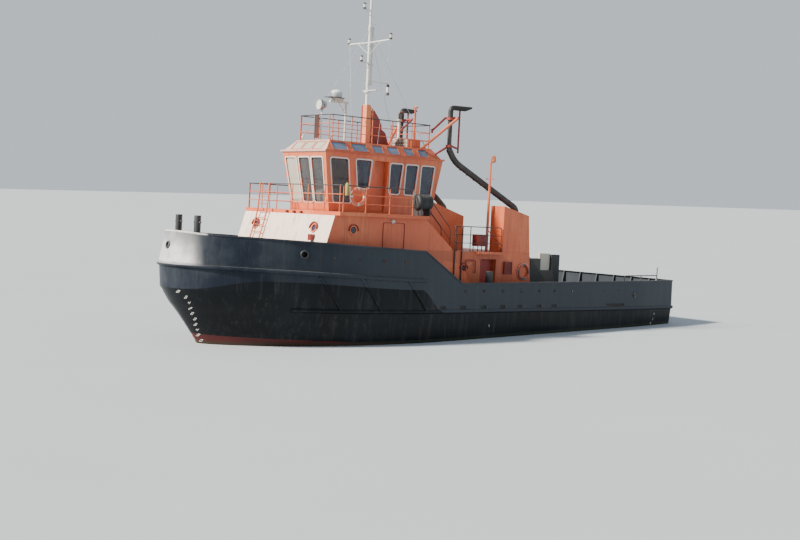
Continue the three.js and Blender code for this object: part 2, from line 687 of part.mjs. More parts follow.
function wheelhouseDoor(side) {
  const { x, z, face, thick } = WH_DOOR;
  const leaf = box([x[0] + 10, x[1] - 8], sideways(side, face - thick, face), [z[0] + 8, z[1] - 8]);
  const lugs = hingeBarrels(DOOR_AXIS[0], side * DOOR_AXIS[1], DOOR_HEIGHTS, 20, false);
  const straps = DOOR_HEIGHTS.map((from) => {
    return box([x[0] + 12, x[0] + 24], sideways(side, face - 10, face + 10), [from, from + 60]);
  });
  const grip = rod([x[1] - 90, side * (face - 5), 6350], [x[1] - 90, side * (face + 50), 6350], 12, 6);
  const lever = rod([x[1] - 90, side * (face + 45), 6350], [x[1] - 210, side * (face + 45), 6350], 12, 6);
  return union([leaf, ...lugs, ...straps, grip, lever]);
}

// A band of glass just inside the walls, from one station along the house to another
function glazing(from, to) {
  const [low, high] = [5520, 7480];
  const outer = lean(WH_FOOT, WH_EAVE, low, high, PLATE + GAP);
  const inner = lean(WH_FOOT, WH_EAVE, low - 50, high + 50, PLATE + GAP + GLASS);
  return outer.subtract(inner).intersect(box([from, to], [-2000, 2000], [0, FAR]));
}

// The roof's outer form, grown by an amount when it is used to trim what rests on it
function roofForm(grow = 0) {
  return lean(WH_EAVE, WH_CROWN, WH_EAVE.z, WH_CROWN.z + grow, -grow);
}

function wheelhouseRoof() {
  const outer = lean(WH_EAVE, WH_CROWN, WH_EAVE.z + 80, WH_CROWN.z);
  const eave = lean(WH_EAVE, WH_CROWN, WH_EAVE.z, WH_EAVE.z + 80, 0);
  const across = WH_EAVE.half + EAVE_LIP.out;
  const along = [WH_EAVE.x[0] - EAVE_LIP.out, WH_EAVE.x[1] + EAVE_LIP.out];
  const lip = box(along, [-across, across], EAVE_LIP.z);
  const room = lean(WH_EAVE, WH_CROWN, WH_EAVE.z - 100, WH_CROWN.z - PLATE, PLATE);
  const side = SKYLIGHTS.map(([a, b]) => box([a, b], [-across, across], SKYLIGHT_Z));
  const ahead = [WH_CROWN.x[1] - 150, WH_EAVE.x[1] + 250];
  const front = FRONT_SKYLIGHTS.map(([a, b]) => box(ahead, [a, b], SKYLIGHT_Z));
  return union([outer, eave, lip]).subtract(room).subtract(union([...side, ...front]));
}

function skylightGlass() {
  const [low, high] = [SKYLIGHT_Z[0] - 40, SKYLIGHT_Z[1] + 20];
  const outer = lean(WH_EAVE, WH_CROWN, low, high, PLATE + GAP);
  const inner = lean(WH_EAVE, WH_CROWN, low - 40, high + 50, PLATE + GAP + GLASS);
  return outer.subtract(inner);
}

function helm() {
  const desk = [[5700, 5200], [6280, 5200], [6380, 5850], [6300, 6050], [5800, 6150], [5700, 5900]];
  return prism(desk, "y", -900, 900);
}

function helmChair() {
  const z = WH_FOOT.z;
  return union([
    rod([5050, 0, z], [5050, 0, z + 620], 60, 12),
    rod([5050, 0, z], [5050, 0, z + 30], 240, 12),
    box([4800, 5300], [-260, 260], [z + 600, z + 720]),
    prism([[4700, z + 700], [4820, z + 700], [4780, z + 1400], [4680, z + 1400]], "y", -240, 240),
  ]);
}

// Roof gear

function mastBase() {
  const z = WH_CROWN.z;
  const { x, y, top } = TOWER;
  const fin = [
    [3740, 9700], [3360, 9700], [3110, 9400], [2930, 9130], [2920, 8910], [2690, 8770], [2480, 8250],
    [2480, z], [3740, z],
  ];
  const pieces = [
    box(x, y, [z, top]),
    box([x[0] + 70, x[1]], [y[0] - 120, y[0]], [z, top - 30]),
    prism(fin, "y", -30, 30),
    rod([3630, 100, z], [3630, 100, 9840], 35, 8),
    rod([3520, 100, z], [3520, 100, 9780], 30, 8),
    ...[8700, 9480].map((high) => box([3490, x[0] + 10], [0, 120], [high, high + 40])),
  ];
  return union(pieces);
}

function mast() {
  const x = MAST_X;
  const shelf = (z, y0, y1, depth) => box([x - depth, x + 40], [y0, y1], [z - 20, z + 20]);
  const pieces = [
    rod([x, 0, TOWER.top + GAP], [x, 0, 13300], 60, 10),
    rod([x - 140, 30, 10800], [x - 140, 30, 13300], 42, 8),
    ...[10800, 11650, 12450, 13200].map((z) => box([x - 140, x], [-20, 60], [z, z + 60])),
    rod([x, 0, 13250], [x, 0, MAST_TOP], 50, 8),
    rod([x, -1450, YARD_Z], [x, 1450, YARD_Z], 30, 6),
    rod([x, 0, 10430], [x, 0, 10500], 140, 10),
    shelf(10520, -270, 650, 60),
    rod([x, 0, 10950], [2660, 0, 10950], 22, 6),
    rod([2660, 0, 10430], [2660, 0, 10960], 75, 8),
    rod([x, 0, 11730], [x + 420, 0, 11730], 25, 6),
    rod([x, 0, 14000], [x + 380, 0, 14000], 25, 6),
  ];
  const lanterns = [[x, -1450, YARD_Z], [x, 1450, YARD_Z], [x + 400, 0, 11730], [x + 360, 0, 14000]];
  for (const [px, py, pz] of lanterns) {
    pieces.push(rod([px, py, pz], [px, py, pz + 300], 75, 8));
  }
  for (const side of [-1, 1]) {
    for (const foot of [6460, 1200]) {
      const [y, z] = [side * 1060, WH_CROWN.z + GAP];
      pieces.push(rod([x, side * 20, 13200], [foot, y, z + 40], 10, 4));
      pieces.push(box([foot - 40, foot + 40], sideways(side, 1030, 1090), [z, z + 60]));
    }
    const foot = side * 900;
    pieces.push(rod([x, foot, WH_CROWN.z + 40], [x, side * 1400, YARD_Z], 8, 4));
    pieces.push(box([x - 30, x + 30], sorted(foot - 30, foot + 30), [WH_CROWN.z + GAP, WH_CROWN.z + 60]));
  }
  return union(pieces);
}

function radarMount() {
  const [px, z] = [4920, WH_CROWN.z];
  const arm = RADAR.z - 130;
  return union([
    rod([px, 0, z], [px, 0, arm - 20], 45, 8),
    box([px - 80, RADAR.x + 340], [-60, 60], [arm - 90, arm]),
    box([RADAR.x - 330, RADAR.x + 150], [-120, 120], [arm, RADAR.z - 20]),
    box([RADAR.x - 320, RADAR.x + 490], [-240, 240], [RADAR.z - 22, RADAR.z]),
    rod([px, 0, 9400], [px + 420, 0, arm - 60], 20, 6),
  ]);
}

function radarDome() {
  const { x, z, radius } = RADAR;
  const profile = [[0, 0], [0.96, 0], [1, 200], [0.82, 290], [0.4, 330], [0, 340]];
  return lathe(profile.map(([share, high]) => [share * radius, high]), [x, 0, z + GAP], [0, 0, 1], 20);
}

function searchlightPost() {
  const { x, y, z } = SEARCHLIGHT;
  return rod([x, y, WH_CROWN.z], [x, y, z - 20], 35, 8).add(rod([x, y, z - 20], [x, y, z], 70, 8));
}

// Bent pipe with a flange, on top of the locker
function roofVent() {
  const [x, y, z] = [2050, 170, LOCKER.top + GAP];
  const turn = bend([x, y, 9600], [x, y, 9730], [x - 80, y + 80, 9740]);
  return union([
    rod([x, y, z], [x, y, z + 90], 110, 10, 62),
    rod([x, y, z], [x, y, 9420], 60, 10),
    rod([x, y, 9370], [x, y, 9420], 105, 10),
    pipe([[x, y, 9400], ...turn, [x - 140, y + 140, 9710]], 50, 8),
  ]);
}

// Low box with the post of a T-shaped antenna at its aft side
function roofLocker() {
  const { x, y, top } = LOCKER;
  const [postX, postY] = [x[0], 530];
  return union([
    box(x, y, [WH_CROWN.z, top]),
    rod([postX, postY, WH_CROWN.z], [postX, postY, 9990], 45, 8),
    rod([postX, postY, WH_CROWN.z], [postX, postY, 8880], 80, 8, 60),
    rod([postX, postY - 130, 9990], [postX, postY + 130, 9990], 42, 8),
  ]);
}

// Exhaust: up from the uptake, forward beside the wheelhouse, then upright to a mouth facing aft,
// whose end is cut to a wedge
function exhaustPipe(side, grow = 0) {
  const { x, radius, mouth } = EXHAUST;
  const y = side * EXHAUST.y;
  const [footX, footY, z] = EXHAUST.foot[side > 0 ? 0 : 1];
  const slant = bend([-190, y, 7520], [230, y, 7830], [x, y, 8200]);
  const out = y + side * 70;
  const elbow = bend([x, y, 9560], [x, y, mouth.z], [-20, out, mouth.z], 4);
  const run = [[x, y, 9450], ...elbow, [mouth.x, side * mouth.y, mouth.z]];
  const wedge = [[-320, 9930], [-667, 10092], [-1000, 10092], [-1000, 9700], [-320, 9700]];
  return union([
    pipe([[footX, footY, z], [footX + 50, footY, z + 350], ...slant], 140 + grow, 8),
    rod([x, y, 8150], [x, y, 9480], radius + grow, 12),
    pipe(run, mouth.radius + grow, 12).subtract(prism(wedge, "y", -3000, 3000)),
  ]);
}

function exhaust(side) {
  const tops = side > 0 ? UPTAKE.port : UPTAKE.starboard;
  const trunk = uptake(-HOUSE_SIDE, HOUSE_SIDE, tops.map((z) => z + GAP));
  return exhaustPipe(side).subtract(trunk);
}

// Frame and clamps that hold the exhaust to the roof, with a leg under the mouth
function pipeBracket(side) {
  const { x, y } = EXHAUST;
  const at = (along, across, z) => [along, side * across, z];
  const clamp = (z, radius) => rod(at(x, y, z - 55), at(x, y, z + 55), radius, 14);
  return union([
    clamp(9550, 165),
    clamp(8340, 160),
    rod(at(1600, 1240, 8140), at(190, 1980, 9580), 62, 8),
    rod(at(900, 1130, 9020), at(180, 1150, 9620), 50, 8),
    box([910, 950 - GAP], sideways(side, 1070, 1190), [8890, 9080]),
    rod(at(180, 1130, 9620), at(190, 2010, 9590), 52, 8),
    rod(at(190, 1790, 9600), at(-90, 1786, 9600), 40, 8),
    rod(at(-90, 1786, 8060), at(-90, 1786, 9935), 42, 8),
    rod(at(x, 1740, 8365), at(-90, 1786, 8250), 45, 8),
    rod(at(900, 1320, 7920), at(x, y, 8355), 50, 8),
  ]).subtract(roofForm(GAP)).subtract(exhaustPipe(side, GAP));
}

function lampPost() {
  const [x, y] = [-1480, 2500];
  const head = x - 170;
  return union([
    rod([x, y, AFT_HOUSE.top], [x, y, 7750], 70, 8, 45),
    rod([x, y - 250, 7000], [x, y + 250, 7000], 25, 6),
    rod([x, y, 7700], [head, y, 7760], 30, 6),
    rod([head, y, 7740], [head, y, 8070], 100, 8, 75),
  ]);
}

// Deck gear

function bowBitts() {
  const posts = [-720, 720].map((y) => rod([12400, y, 2700], [12400, y, 4790], 135, 12));
  const pins = [-720, 720].map((y) => rod([12400, y - 260, 4520], [12400, y + 260, 4520], 30, 6));
  const bar = rod([12400, -900, 3600], [12400, 900, 3600], 90, 8);
  return union([...posts, ...pins, bar]).subtract(RESTS);
}

function sideBitts(side) {
  const { x, top, radius } = SIDE_BOLLARD;
  const y = side * SIDE_BOLLARD.y;
  const post = rod([x, y, MAIN_DECK + 40], [x, y, top], radius, 14);
  return box([x - 260, x + 260], sideways(side, 3700, 4100), [MAIN_DECK, MAIN_DECK + 60]).add(post);
}

function capstanBase() {
  const [x, top] = [CAPSTAN.x, CAPSTAN.seat];
  const spindle = rod([x, 0, top - 10], [x, 0, top + 6 - GAP], 120, 12);
  return rod([x, 0, 2700], [x, 0, top], 330, 12).subtract(RESTS).add(spindle);
}

function capstan() {
  const profile = [[0, 6], [290, 6], [290, 50], [190, 150], [170, 350], [260, 470], [260, 530], [0, 530]];
  return lathe(profile, [CAPSTAN.x, 0, CAPSTAN.seat], [0, 0, 1], 16);
}

function winchFrame() {
  const { x, z, half, axle } = WINCH;
  const cheek = [
    [x - 1150, 1430], [x + 1000, 1430], [x + 900, 2500],
    [x + 350, 3300], [x - 500, 3300], [x - 1050, 2400],
  ];
  const cheeks = [-1, 1].map((side) => prism(cheek, "y", ...sideways(side, half + 60, half + 200)));
  const plinth = box([x - 1300, x + 1150], [-half - 260, half + 260], [MAIN_DECK, MAIN_DECK + 110]);
  const guard = rod([x + 1000, -half - 100, 3050], [x + 1000, half + 100, 3050], 60, 8);
  const stays = [-1, 1].map((side) => {
    return rod([x + 800, side * (half + 130), 2500], [x + 1000, side * (half + 100), 3070], 60, 6);
  });
  const drive = [
    box([x - 1300, x + 700], [half + 200, half + 520], [MAIN_DECK, WINCH.drive]),
    box([x - 1300, x - 730], [half + 200, half + 520], [WINCH.drive, 3640]),
    box([x + 20, x + 700], [half + 200, half + 520], [WINCH.drive, 3440]),
  ];
  const bored = union([plinth, ...cheeks, guard, ...stays, ...drive]);
  return bored.subtract(rod([x, -half - 180, z], [x, half + 180, z], axle + 1, 32));
}

function winchDrum() {
  const { x, z, half, flange, barrel } = WINCH;
  const edge = half + 50;
  const profile = [
    [0, -edge], [flange, -edge], [flange, -edge + 50], [barrel, -edge + 50],
    [barrel, edge - 50], [flange, edge - 50], [flange, edge], [0, edge],
  ];
  const axle = rod([x, -half - 170, z], [x, half + 170, z], WINCH.axle, 32);
  return lathe(profile, [x, 0, z], [0, 1, 0], 16).add(axle);
}

function winchPanel() {
  const { x, half } = WINCH;
  return box([x - 710, x - 10], [half + 200, half + 420], [WINCH.drive + GAP, 3690]);
}

function hatchLid() {
  const z = MAIN_DECK + HATCH.coaming;
  const [aft, fore] = HATCH.x;
  const y = HATCH.half + 40;
  const lid = box([aft - 40, fore + 30], [-y, y], [z + 5, z + 60]);
  const rim = [-1, 1].map((side) => box([aft - 40, fore - 100], sideways(side, y - 20, y), [z - 60, z + 10]));
  const lugs = [-300, 300].flatMap((at) => [
    rod([fore + 60, at - 54.5, z + 45], [fore + 60, at + 54.5, z + 45], 20, 8),
    box([fore + 20, fore + 60], [at - 54.5, at + 54.5], [z + 30, z + 60]),
  ]);
  return union([lid, ...rim, ...lugs]);
}

function hatchHinges() {
  const z = MAIN_DECK + HATCH.coaming;
  const x = HATCH.x[1] + 60;
  return [-385, 385].map((at) => {
    return union([
      rod([x, at - 30, z + 45], [x, at + 30, z + 45], 20, 8),
      box([x - 15, x + 25], [at - 30, at + 30], [MAIN_DECK - 20, z + 45]),
    ]);
  });
}

function liferaft(grow = 0) {
  const { x, y, z, radius, half } = LIFERAFT;
  const shoulder = 0.8 * half;
  const end = [[0.6, half], [0.97, shoulder]];
  const profile = [[0, -half], ...end.map(([r, h]) => [r, -h]), [1, 0], ...end.reverse(), [0, half]];
  return lathe(profile.map(([r, h]) => [r * radius + (r ? grow : 0), h]), [x, y, z], [1, 0, 0], 14);
}

function liferaftCradle() {
  const { x, y, z } = LIFERAFT;
  const floor = BRIDGE_DECK.top;
  const saddles = [-250, 200].map((dx) => box([x + dx, x + dx + 50], [y - 290, y + 240], [floor, z - 100]));
  const runners = [-270, -80].map((dy) => {
    return box([x - 250, x + 250], [y + dy, y + dy + 40], [floor, floor + 40]);
  });
  return union([...saddles, ...runners]).subtract(liferaft(GAP));
}

function lifebuoy([x, y, z], direction) {
  const profile = Array.from({ length: 7 }, (_, k) => {
    const turn = (2 * Math.PI * k) / 6;
    return [310 + 60 * Math.cos(turn), 60 * Math.sin(turn)];
  });
  return lathe(profile, [x, y, z], direction, 16);
}

// Below water

function propeller() {
  const profile = [[0, -34.7], [60, -34.7], [60, -30], [130, -30], [130, 200], [90, 330], [0, 380]];
  const hub = lathe(profile, [0, 0, 0], [-1, 0, 0], 12);
  const { thick, pitch, shift } = BLADE;
  const blades = [0, 1, 2, 3].map((quarter) => {
    const shape = new THREE.Shape([
      ...BLADE.edge.map(([out, half]) => new THREE.Vector2(-half, out)),
      ...BLADE.edge.map(([out, half]) => new THREE.Vector2(half, out)).reverse(),
    ]);
    const plate = new THREE.ExtrudeGeometry(shape, { depth: thick, bevelEnabled: false });
    plate.translate(0, 0, -thick / 2);
    plate.rotateY(pitch);
    plate.rotateX(Math.PI / 2);
    plate.translate(shift, 0, 0);
    return solid(plate.rotateX((quarter * Math.PI) / 2));
  });
  return union([hub, ...blades]);
}

function rudder() {
  const half = [[330, 60], [150, 85], [-100, 75], [-450, 12]];
  const foil = [[450, 0], ...half, ...half.map(([x, y]) => [x, -y]).reverse()];
  return prism(foil, "z", -2560, -1010).add(rod([0, 0, -1100], [0, 0, -930 - GAP], 70, 12));
}

// Scene graph

const tug = new THREE.Group();
const groups = {};
for (const name of ["hullWork", "houses", "bridge", "rigging", "deckGear", "underwater"]) {
  groups[name] = new THREE.Group();
  tug.add(groups[name]);
}

function add(group, name, made, look, place = [0, 0, 0]) {
  const mesh = new THREE.Mesh(geometry(made), new THREE.MeshStandardMaterial(look));
  mesh.name = name;
  mesh.position.set(...place);
  groups[group].add(mesh);
}

const SIDES = [["port", 1], ["starboard", -1]];

add("hullWork", "hull", hull().add(union(hatchHinges())), BLACK);
add("hullWork", "fore_bulwark", foreBulwark(), BLACK);
add("hullWork", "aft_bulwark", aftBulwark(), BLACK);
add("hullWork", "fender_belt", fenderBelt(), BLACK);

add("houses", "forward_house", forwardHouse(), ORANGE);
add("houses", "aft_house", aftHouse(), ORANGE);
add("houses", "engine_casing", casing(), ORANGE);
add("houses", "port_uptake", uptake(UPTAKE.portInner, HOUSE_SIDE, UPTAKE.port), ORANGE);
add("houses", "starboard_uptake", uptake(-HOUSE_SIDE, -1200, UPTAKE.starboard), ORANGE);
add("houses", "bridge_deck", bridgeDeck(), ORANGE);

add("bridge", "wheelhouse", wheelhouse(), ORANGE);
add("bridge", "wheelhouse_roof", wheelhouseRoof(), ORANGE);
add("bridge", "front_glazing", glazing(WH_DOOR.x[1] + 72, FAR), PANE);
add("bridge", "aft_glazing", glazing(-FAR, WH_DOOR.x[0] - 72), PANE);
add("bridge", "skylight_glazing", skylightGlass(), PANE);
add("bridge", "helm_desk", helm(), WHITE);
add("bridge", "helm_chair", helmChair(), DARK);
add("bridge", "bridge_rail", bridgeRail(), ORANGE);
add("bridge", "roof_rail", roofRail(), ORANGE);
add("bridge", "bow_ladder", bowLadder(), ORANGE);
add("bridge", "liferaft", liferaft(), DARK);
add("bridge", "liferaft_cradle", liferaftCradle(), STEEL);

add("rigging", "mast_base", mastBase(), ORANGE);
add("rigging", "mast", mast(), WHITE);
add("rigging", "radar_mount", radarMount(), WHITE);
add("rigging", "searchlight_post", searchlightPost(), WHITE);
add("rigging", "roof_vent", roofVent(), ORANGE);
add("rigging", "roof_locker", roofLocker(), RED);
add("rigging", "lamp_post", lampPost(), ORANGE);

add("rigging", "radar_dome", radarDome(), WHITE);
const lamp = lathe([[0, -200], [135, -165], [215, 60], [225, 190], [0, 190]], [0, 0, 260], [1, 0, 0], 14)
  .add(rod([0, 0, 0], [0, 0, 90], 40, 8));
add("rigging", "searchlight", lamp, STEEL, [SEARCHLIGHT.x, SEARCHLIGHT.y, SEARCHLIGHT.z + GAP]);

for (const [name, side] of SIDES) {
  add("rigging", name + "_exhaust", exhaust(side), DARK);
  add("rigging", name + "_pipe_bracket", pipeBracket(side), ORANGE);
  add("houses", name + "_stair", stair(side), ORANGE);
  add("houses", name + "_roof_rail", roofEdgeRail(side), ORANGE);
  add("houses", name + "_house_door", houseDoor(side), RED);
  add("bridge", name + "_wheelhouse_door", wheelhouseDoor(side), ORANGE);
  add("deckGear", name + "_bitts", sideBitts(side), DARK);
  add("deckGear", name + "_stern_rail", sternRail(side), DARK);
  add("underwater", name + "_propeller", propeller(), BRONZE, [SHAFT.end - 35, side * SHAFT.y, SHAFT.z]);
  add("underwater", name + "_rudder", rudder(), RED, [RUDDER_X, side * SHAFT.y, 0]);
}

add("deckGear", "bow_bitts", bowBitts(), DARK);
add("deckGear", "capstan_base", capstanBase(), DARK);
add("deckGear", "capstan", capstan(), DARK);
add("deckGear", "winch_frame", winchFrame(), DARK);
add("deckGear", "winch_drum", winchDrum(), DARK);
add("deckGear", "winch_panel", winchPanel(), WHITE);
add("deckGear", "hatch_lid", hatchLid(), DARK);
add("houses", "house_lifebuoy", lifebuoy([-3120, HOUSE_SIDE + 52.3, 2890], [0, 1, 0]), RED);
add("bridge", "bridge_lifebuoy", lifebuoy([6720, BRIDGE_DECK.half + 28, 5840], [0, 1, 0]), WHITE);

export default tug;
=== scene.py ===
"""Looks of a two-deck offshore support tug, afloat: orange houses on a black hull, built
round its CAD frame."""

import json
import math

import bmesh
import bpy
import numpy as np
from mathutils import Matrix, Vector

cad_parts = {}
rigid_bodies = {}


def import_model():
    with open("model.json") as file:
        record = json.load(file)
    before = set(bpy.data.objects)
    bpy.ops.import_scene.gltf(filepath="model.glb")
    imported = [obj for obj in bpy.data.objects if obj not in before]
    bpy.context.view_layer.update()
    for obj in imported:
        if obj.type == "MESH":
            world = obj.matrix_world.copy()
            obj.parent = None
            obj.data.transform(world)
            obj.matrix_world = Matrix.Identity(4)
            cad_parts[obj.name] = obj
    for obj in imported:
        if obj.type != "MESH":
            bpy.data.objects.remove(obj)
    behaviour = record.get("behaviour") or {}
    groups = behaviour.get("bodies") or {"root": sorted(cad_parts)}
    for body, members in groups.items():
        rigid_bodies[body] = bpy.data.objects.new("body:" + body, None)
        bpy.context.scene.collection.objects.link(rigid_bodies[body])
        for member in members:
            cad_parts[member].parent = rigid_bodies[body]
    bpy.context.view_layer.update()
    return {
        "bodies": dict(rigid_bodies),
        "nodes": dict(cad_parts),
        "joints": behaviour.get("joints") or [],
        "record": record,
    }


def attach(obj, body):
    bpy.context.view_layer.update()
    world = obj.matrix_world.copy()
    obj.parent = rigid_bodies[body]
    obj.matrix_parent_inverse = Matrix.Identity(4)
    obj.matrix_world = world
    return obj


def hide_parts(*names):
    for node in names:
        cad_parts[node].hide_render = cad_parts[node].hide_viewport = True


bl_info = {
    "name": "Offshore Support Tug",
    "version": (1, 0, 0),
    "blender": (4, 5, 0),
    "location": "View3D > Sidebar > Tug",
    "description": "Builds the painted, fitted-out tug round its CAD frame",
    "category": "Add Mesh",
}

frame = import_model()

# Hull form, in metres: height, stern, half beam, start of the bow, stem, and the two powers of the bow's curve
HULL_LEVELS = np.array([
    [-2.60, -4.60, 2.30, 1.70, 6.60, 1.90, 1.25],
    [-2.10, -6.70, 3.30, 1.90, 8.90, 1.90, 1.30],
    [-1.50, -8.35, 3.90, 2.10, 10.30, 1.85, 1.35],
    [-1.05, -9.60, 4.08, 2.30, 11.00, 1.85, 1.40],
    [-0.72, -11.20, 4.17, 2.50, 11.40, 1.80, 1.45],
    [-0.50, -12.60, 4.22, 2.60, 11.60, 1.80, 1.48],
    [0.00, -12.95, 4.30, 2.80, 11.94, 1.75, 1.50],
    [0.97, -13.08, 4.37, 3.10, 12.65, 1.70, 1.65],
    [1.35, -13.10, 4.40, 3.40, 12.95, 1.65, 1.78],
    [1.95, -13.10, 4.40, 3.74, 13.29, 1.60, 2.00],
    [2.86, -13.10, 4.40, 3.74, 13.39, 1.60, 2.00],
    [4.20, -13.10, 4.38, 3.74, 13.13, 1.60, 2.00],
])
KNUCKLE = 1.95
MAIN_DECK = 1.35
FORE_EDGE = 2.7  # plan height of the forecastle deck's edge
BREAK_X = 3.74  # aft end of the forecastle
QUARTER = 2.8  # length of the chamfered quarter
CORNER = 0.95  # half breadth of the transom, as a share of the half beam
CORNER_RADIUS = 0.25
FORE_DECK = np.array([[3.74, 2.645], [9.3, 2.855], [13.4, 2.965]])
RAIL_LINE = np.array([[-13.1, 2.6], [1.63, 2.45], [3.74, 3.77], [8.51, 3.98], [12.6, 4.12], [13.13, 4.19]])
CAP = {"high": 0.07, "out": 0.025, "inside": 0.11}
PLATE = 0.012  # thickness of bulwark plates and brackets
TRIM = math.tan(math.radians(1.6367))  # bow-up trim of the boat as it floats
TRIM_X = 1.8  # where the sloping water surface crosses the design waterline

BODY = "tug"
SIDES = (("port", 1), ("starboard", -1))
HOUSE_SIDE = 3.25  # half breadth of the deckhouses
HOUSE_TOP = 3.75  # height of the aft house's roof


def water(x):
    """Height of the water along the boat: a plane that falls towards the bow with the trim."""
    return -(x - TRIM_X) * TRIM


# Shapes: a shape is (points, [arrays of faces])


def grid(points, around=False, along=False, ends=(False, False)):
    """Quads over a (rows, columns, 3) array; around joins the last column to the first, along the last row to
    the first, and ends closes the first and last rows with one face each."""
    rows, columns = points.shape[:2]
    i = np.arange(rows if along else rows - 1)[:, None]
    j = np.arange(columns if around else columns - 1)[None]
    right, below = (j + 1) % columns, (i + 1) % rows
    quads = np.stack((i * columns + j, i * columns + right, below * columns + right, below * columns + j), -1)
    faces = [quads.reshape(-1, 4)]
    if ends[0]:
        faces.append(np.arange(columns)[None, ::-1])
    if ends[1]:
        faces.append((rows - 1) * columns + np.arange(columns)[None])
    return points.reshape(-1, 3), faces


def joined(shapes):
    """All the shapes as one: their points in a row, with each shape's faces moved on by
    the points before it."""
    shapes = [s for s in shapes if len(s[0])]
    starts = np.cumsum([0] + [len(points) for points, _ in shapes])
    faces = [f + start for (_, fs), start in zip(shapes, starts) for f in fs]
    return np.concatenate([points for points, _ in shapes]), faces


def repeated(points, faces):
    """The same faces on each of n sets of points: points is (n, k, 3), faces a list of (m, s) arrays."""
    n, k = points.shape[:2]
    shift = (np.arange(n) * k)[:, None, None]
    return points.reshape(-1, 3), [(f[None] + shift).reshape(-1, f.shape[1]) for f in faces]


BLOCK_FACES = np.array([[0, 1, 3, 2], [4, 6, 7, 5], [0, 4, 5, 1], [2, 3, 7, 6], [0, 2, 6, 4], [1, 5, 7, 3]])


def blocks(*corners):
    """Boxes from (lowest corner, highest corner) pairs: each vertex takes its low or high
    value on each axis."""
    ends = np.array(corners, float).reshape(-1, 2, 3)
    pick = np.array([[a, b, c] for a in (0, 1) for b in (0, 1) for c in (0, 1)])
    return repeated(ends[:, pick, np.arange(3)], [BLOCK_FACES])


def plates(quads, thick):
    """Flat plates from four corners each, half the thickness to each side along the quad's normal."""
    quads = np.array(quads, float).reshape(-1, 4, 3)
    normal = np.cross(quads[:, 2] - quads[:, 0], quads[:, 3] - quads[:, 1])
    normal = normal / np.linalg.norm(normal, axis=1, keepdims=True) * thick / 2
    points = np.concatenate((quads - normal[:, None], quads + normal[:, None]), 1)
    sides = np.array([[i, (i + 1) % 4, (i + 1) % 4 + 4, i + 4] for i in range(4)])
    return repeated(points, [np.array([[3, 2, 1, 0], [4, 5, 6, 7]]), sides])


def basis(direction, near=(0.0, 0.0, 1.0)):
    """Two unit vectors square to each direction: its cross product with near, and the third one."""
    direction = direction / np.linalg.norm(direction, axis=-1, keepdims=True)
    guide = np.where(np.abs(direction @ np.array(near))[..., None] > 0.98, (1.0, 0.0, 0.0), near)
    across = np.cross(direction, guide)
    across = across / np.linalg.norm(across, axis=-1, keepdims=True)
    return across, np.cross(across, direction)


def rods(starts, ends, radius, sides=10):
    """Straight round bars: a circle of points about each start and each end, with flat ends."""
    starts, ends = np.array(starts, float).reshape(-1, 3), np.array(ends, float).reshape(-1, 3)
    across, up = basis(ends - starts)
    turn = np.linspace(0, 2 * np.pi, sides, endpoint=False)
    radius = np.broadcast_to(np.array(radius, float), (len(starts),))[:, None, None]
    cosine, sine = np.cos(turn)[None, :, None], np.sin(turn)[None, :, None]
    ring = radius * (cosine * across[:, None] + sine * up[:, None])
    points = np.concatenate((starts[:, None] + ring, ends[:, None] + ring), 1)
    i = np.arange(sides)
    wall = np.stack((i, (i + 1) % sides, (i + 1) % sides + sides, i + sides), 1)
    return repeated(points, [wall, i[None, ::-1], i[None] + sides])


def sweep(path, section, guide=None, closed=False):
    """A profile carried along a path: each path point plus the profile's two coordinates times the side and up
    vectors there, stretched at corners so that walls keep their thickness."""
    path, section = np.array(path, float), np.array(section, float)
    if closed:
        back, ahead = path - np.roll(path, 1, 0), np.roll(path, -1, 0) - path
    else:
        steps = np.diff(path, axis=0)
        back, ahead = np.vstack((steps[:1], steps)), np.vstack((steps, steps[-1:]))
    back = back / np.linalg.norm(back, axis=1, keepdims=True)
    ahead = ahead / np.linalg.norm(ahead, axis=1, keepdims=True)
    along = back + ahead
    along = along / np.linalg.norm(along, axis=1, keepdims=True)
    if guide is None:
        guide = np.linalg.svd(path - path.mean(0))[2][-1]
    side = np.cross(along, guide)
    side = side / np.linalg.norm(side, axis=1, keepdims=True)
    up = np.cross(side, along)
    bend = ahead - back
    amount = np.linalg.norm(bend, axis=1, keepdims=True)
    bend = bend / np.maximum(amount, 1e-9)
    stretch = 1 / np.sqrt(np.maximum(1 - amount**2 / 4, 0.2)) - 1
    offsets = section[None, :, :1] * side[:, None] + section[None, :, 1:] * up[:, None]
    offsets = offsets + (offsets * bend[:, None]).sum(-1, keepdims=True) * bend[:, None] * stretch[:, None]
    points = path[:, None] + offsets
    return grid(points, around=True, along=closed, ends=(not closed, not closed))


def circle(radius, sides=12):
    """Points round a circle, each at radius times the cosine and sine of its angle."""
    turn = np.linspace(0, 2 * np.pi, sides, endpoint=False)
    return radius * np.stack((np.cos(turn), np.sin(turn)), 1)


def tube(path, radius, sides=12, closed=False):
    """A round pipe along a path that already has its bends."""
    return sweep(path, circle(radius, sides), closed=closed)


def rounded(corners, radius, steps=5, closed=True):
    """A polyline with each corner turned in a quadratic curve that starts and ends a radius from it."""
    p = np.array(corners, float)
    before, after = np.roll(p, 1, 0) - p, np.roll(p, -1, 0) - p
    reach = np.minimum(radius, 0.49 * np.minimum(np.linalg.norm(before, axis=1), np.linalg.norm(after, axis=1)))
    a = p + before / np.linalg.norm(before, axis=1, keepdims=True) * reach[:, None]
    b = p + after / np.linalg.norm(after, axis=1, keepdims=True) * reach[:, None]
    t = np.linspace(0, 1, steps)[None, :, None]
    curve = (1 - t) ** 2 * a[:, None] + 2 * t * (1 - t) * p[:, None] + t**2 * b[:, None]
    if closed:
        return curve.reshape(-1, p.shape[1])
    return np.concatenate((p[:1], curve[1:-1].reshape(-1, p.shape[1]), p[-1:]))


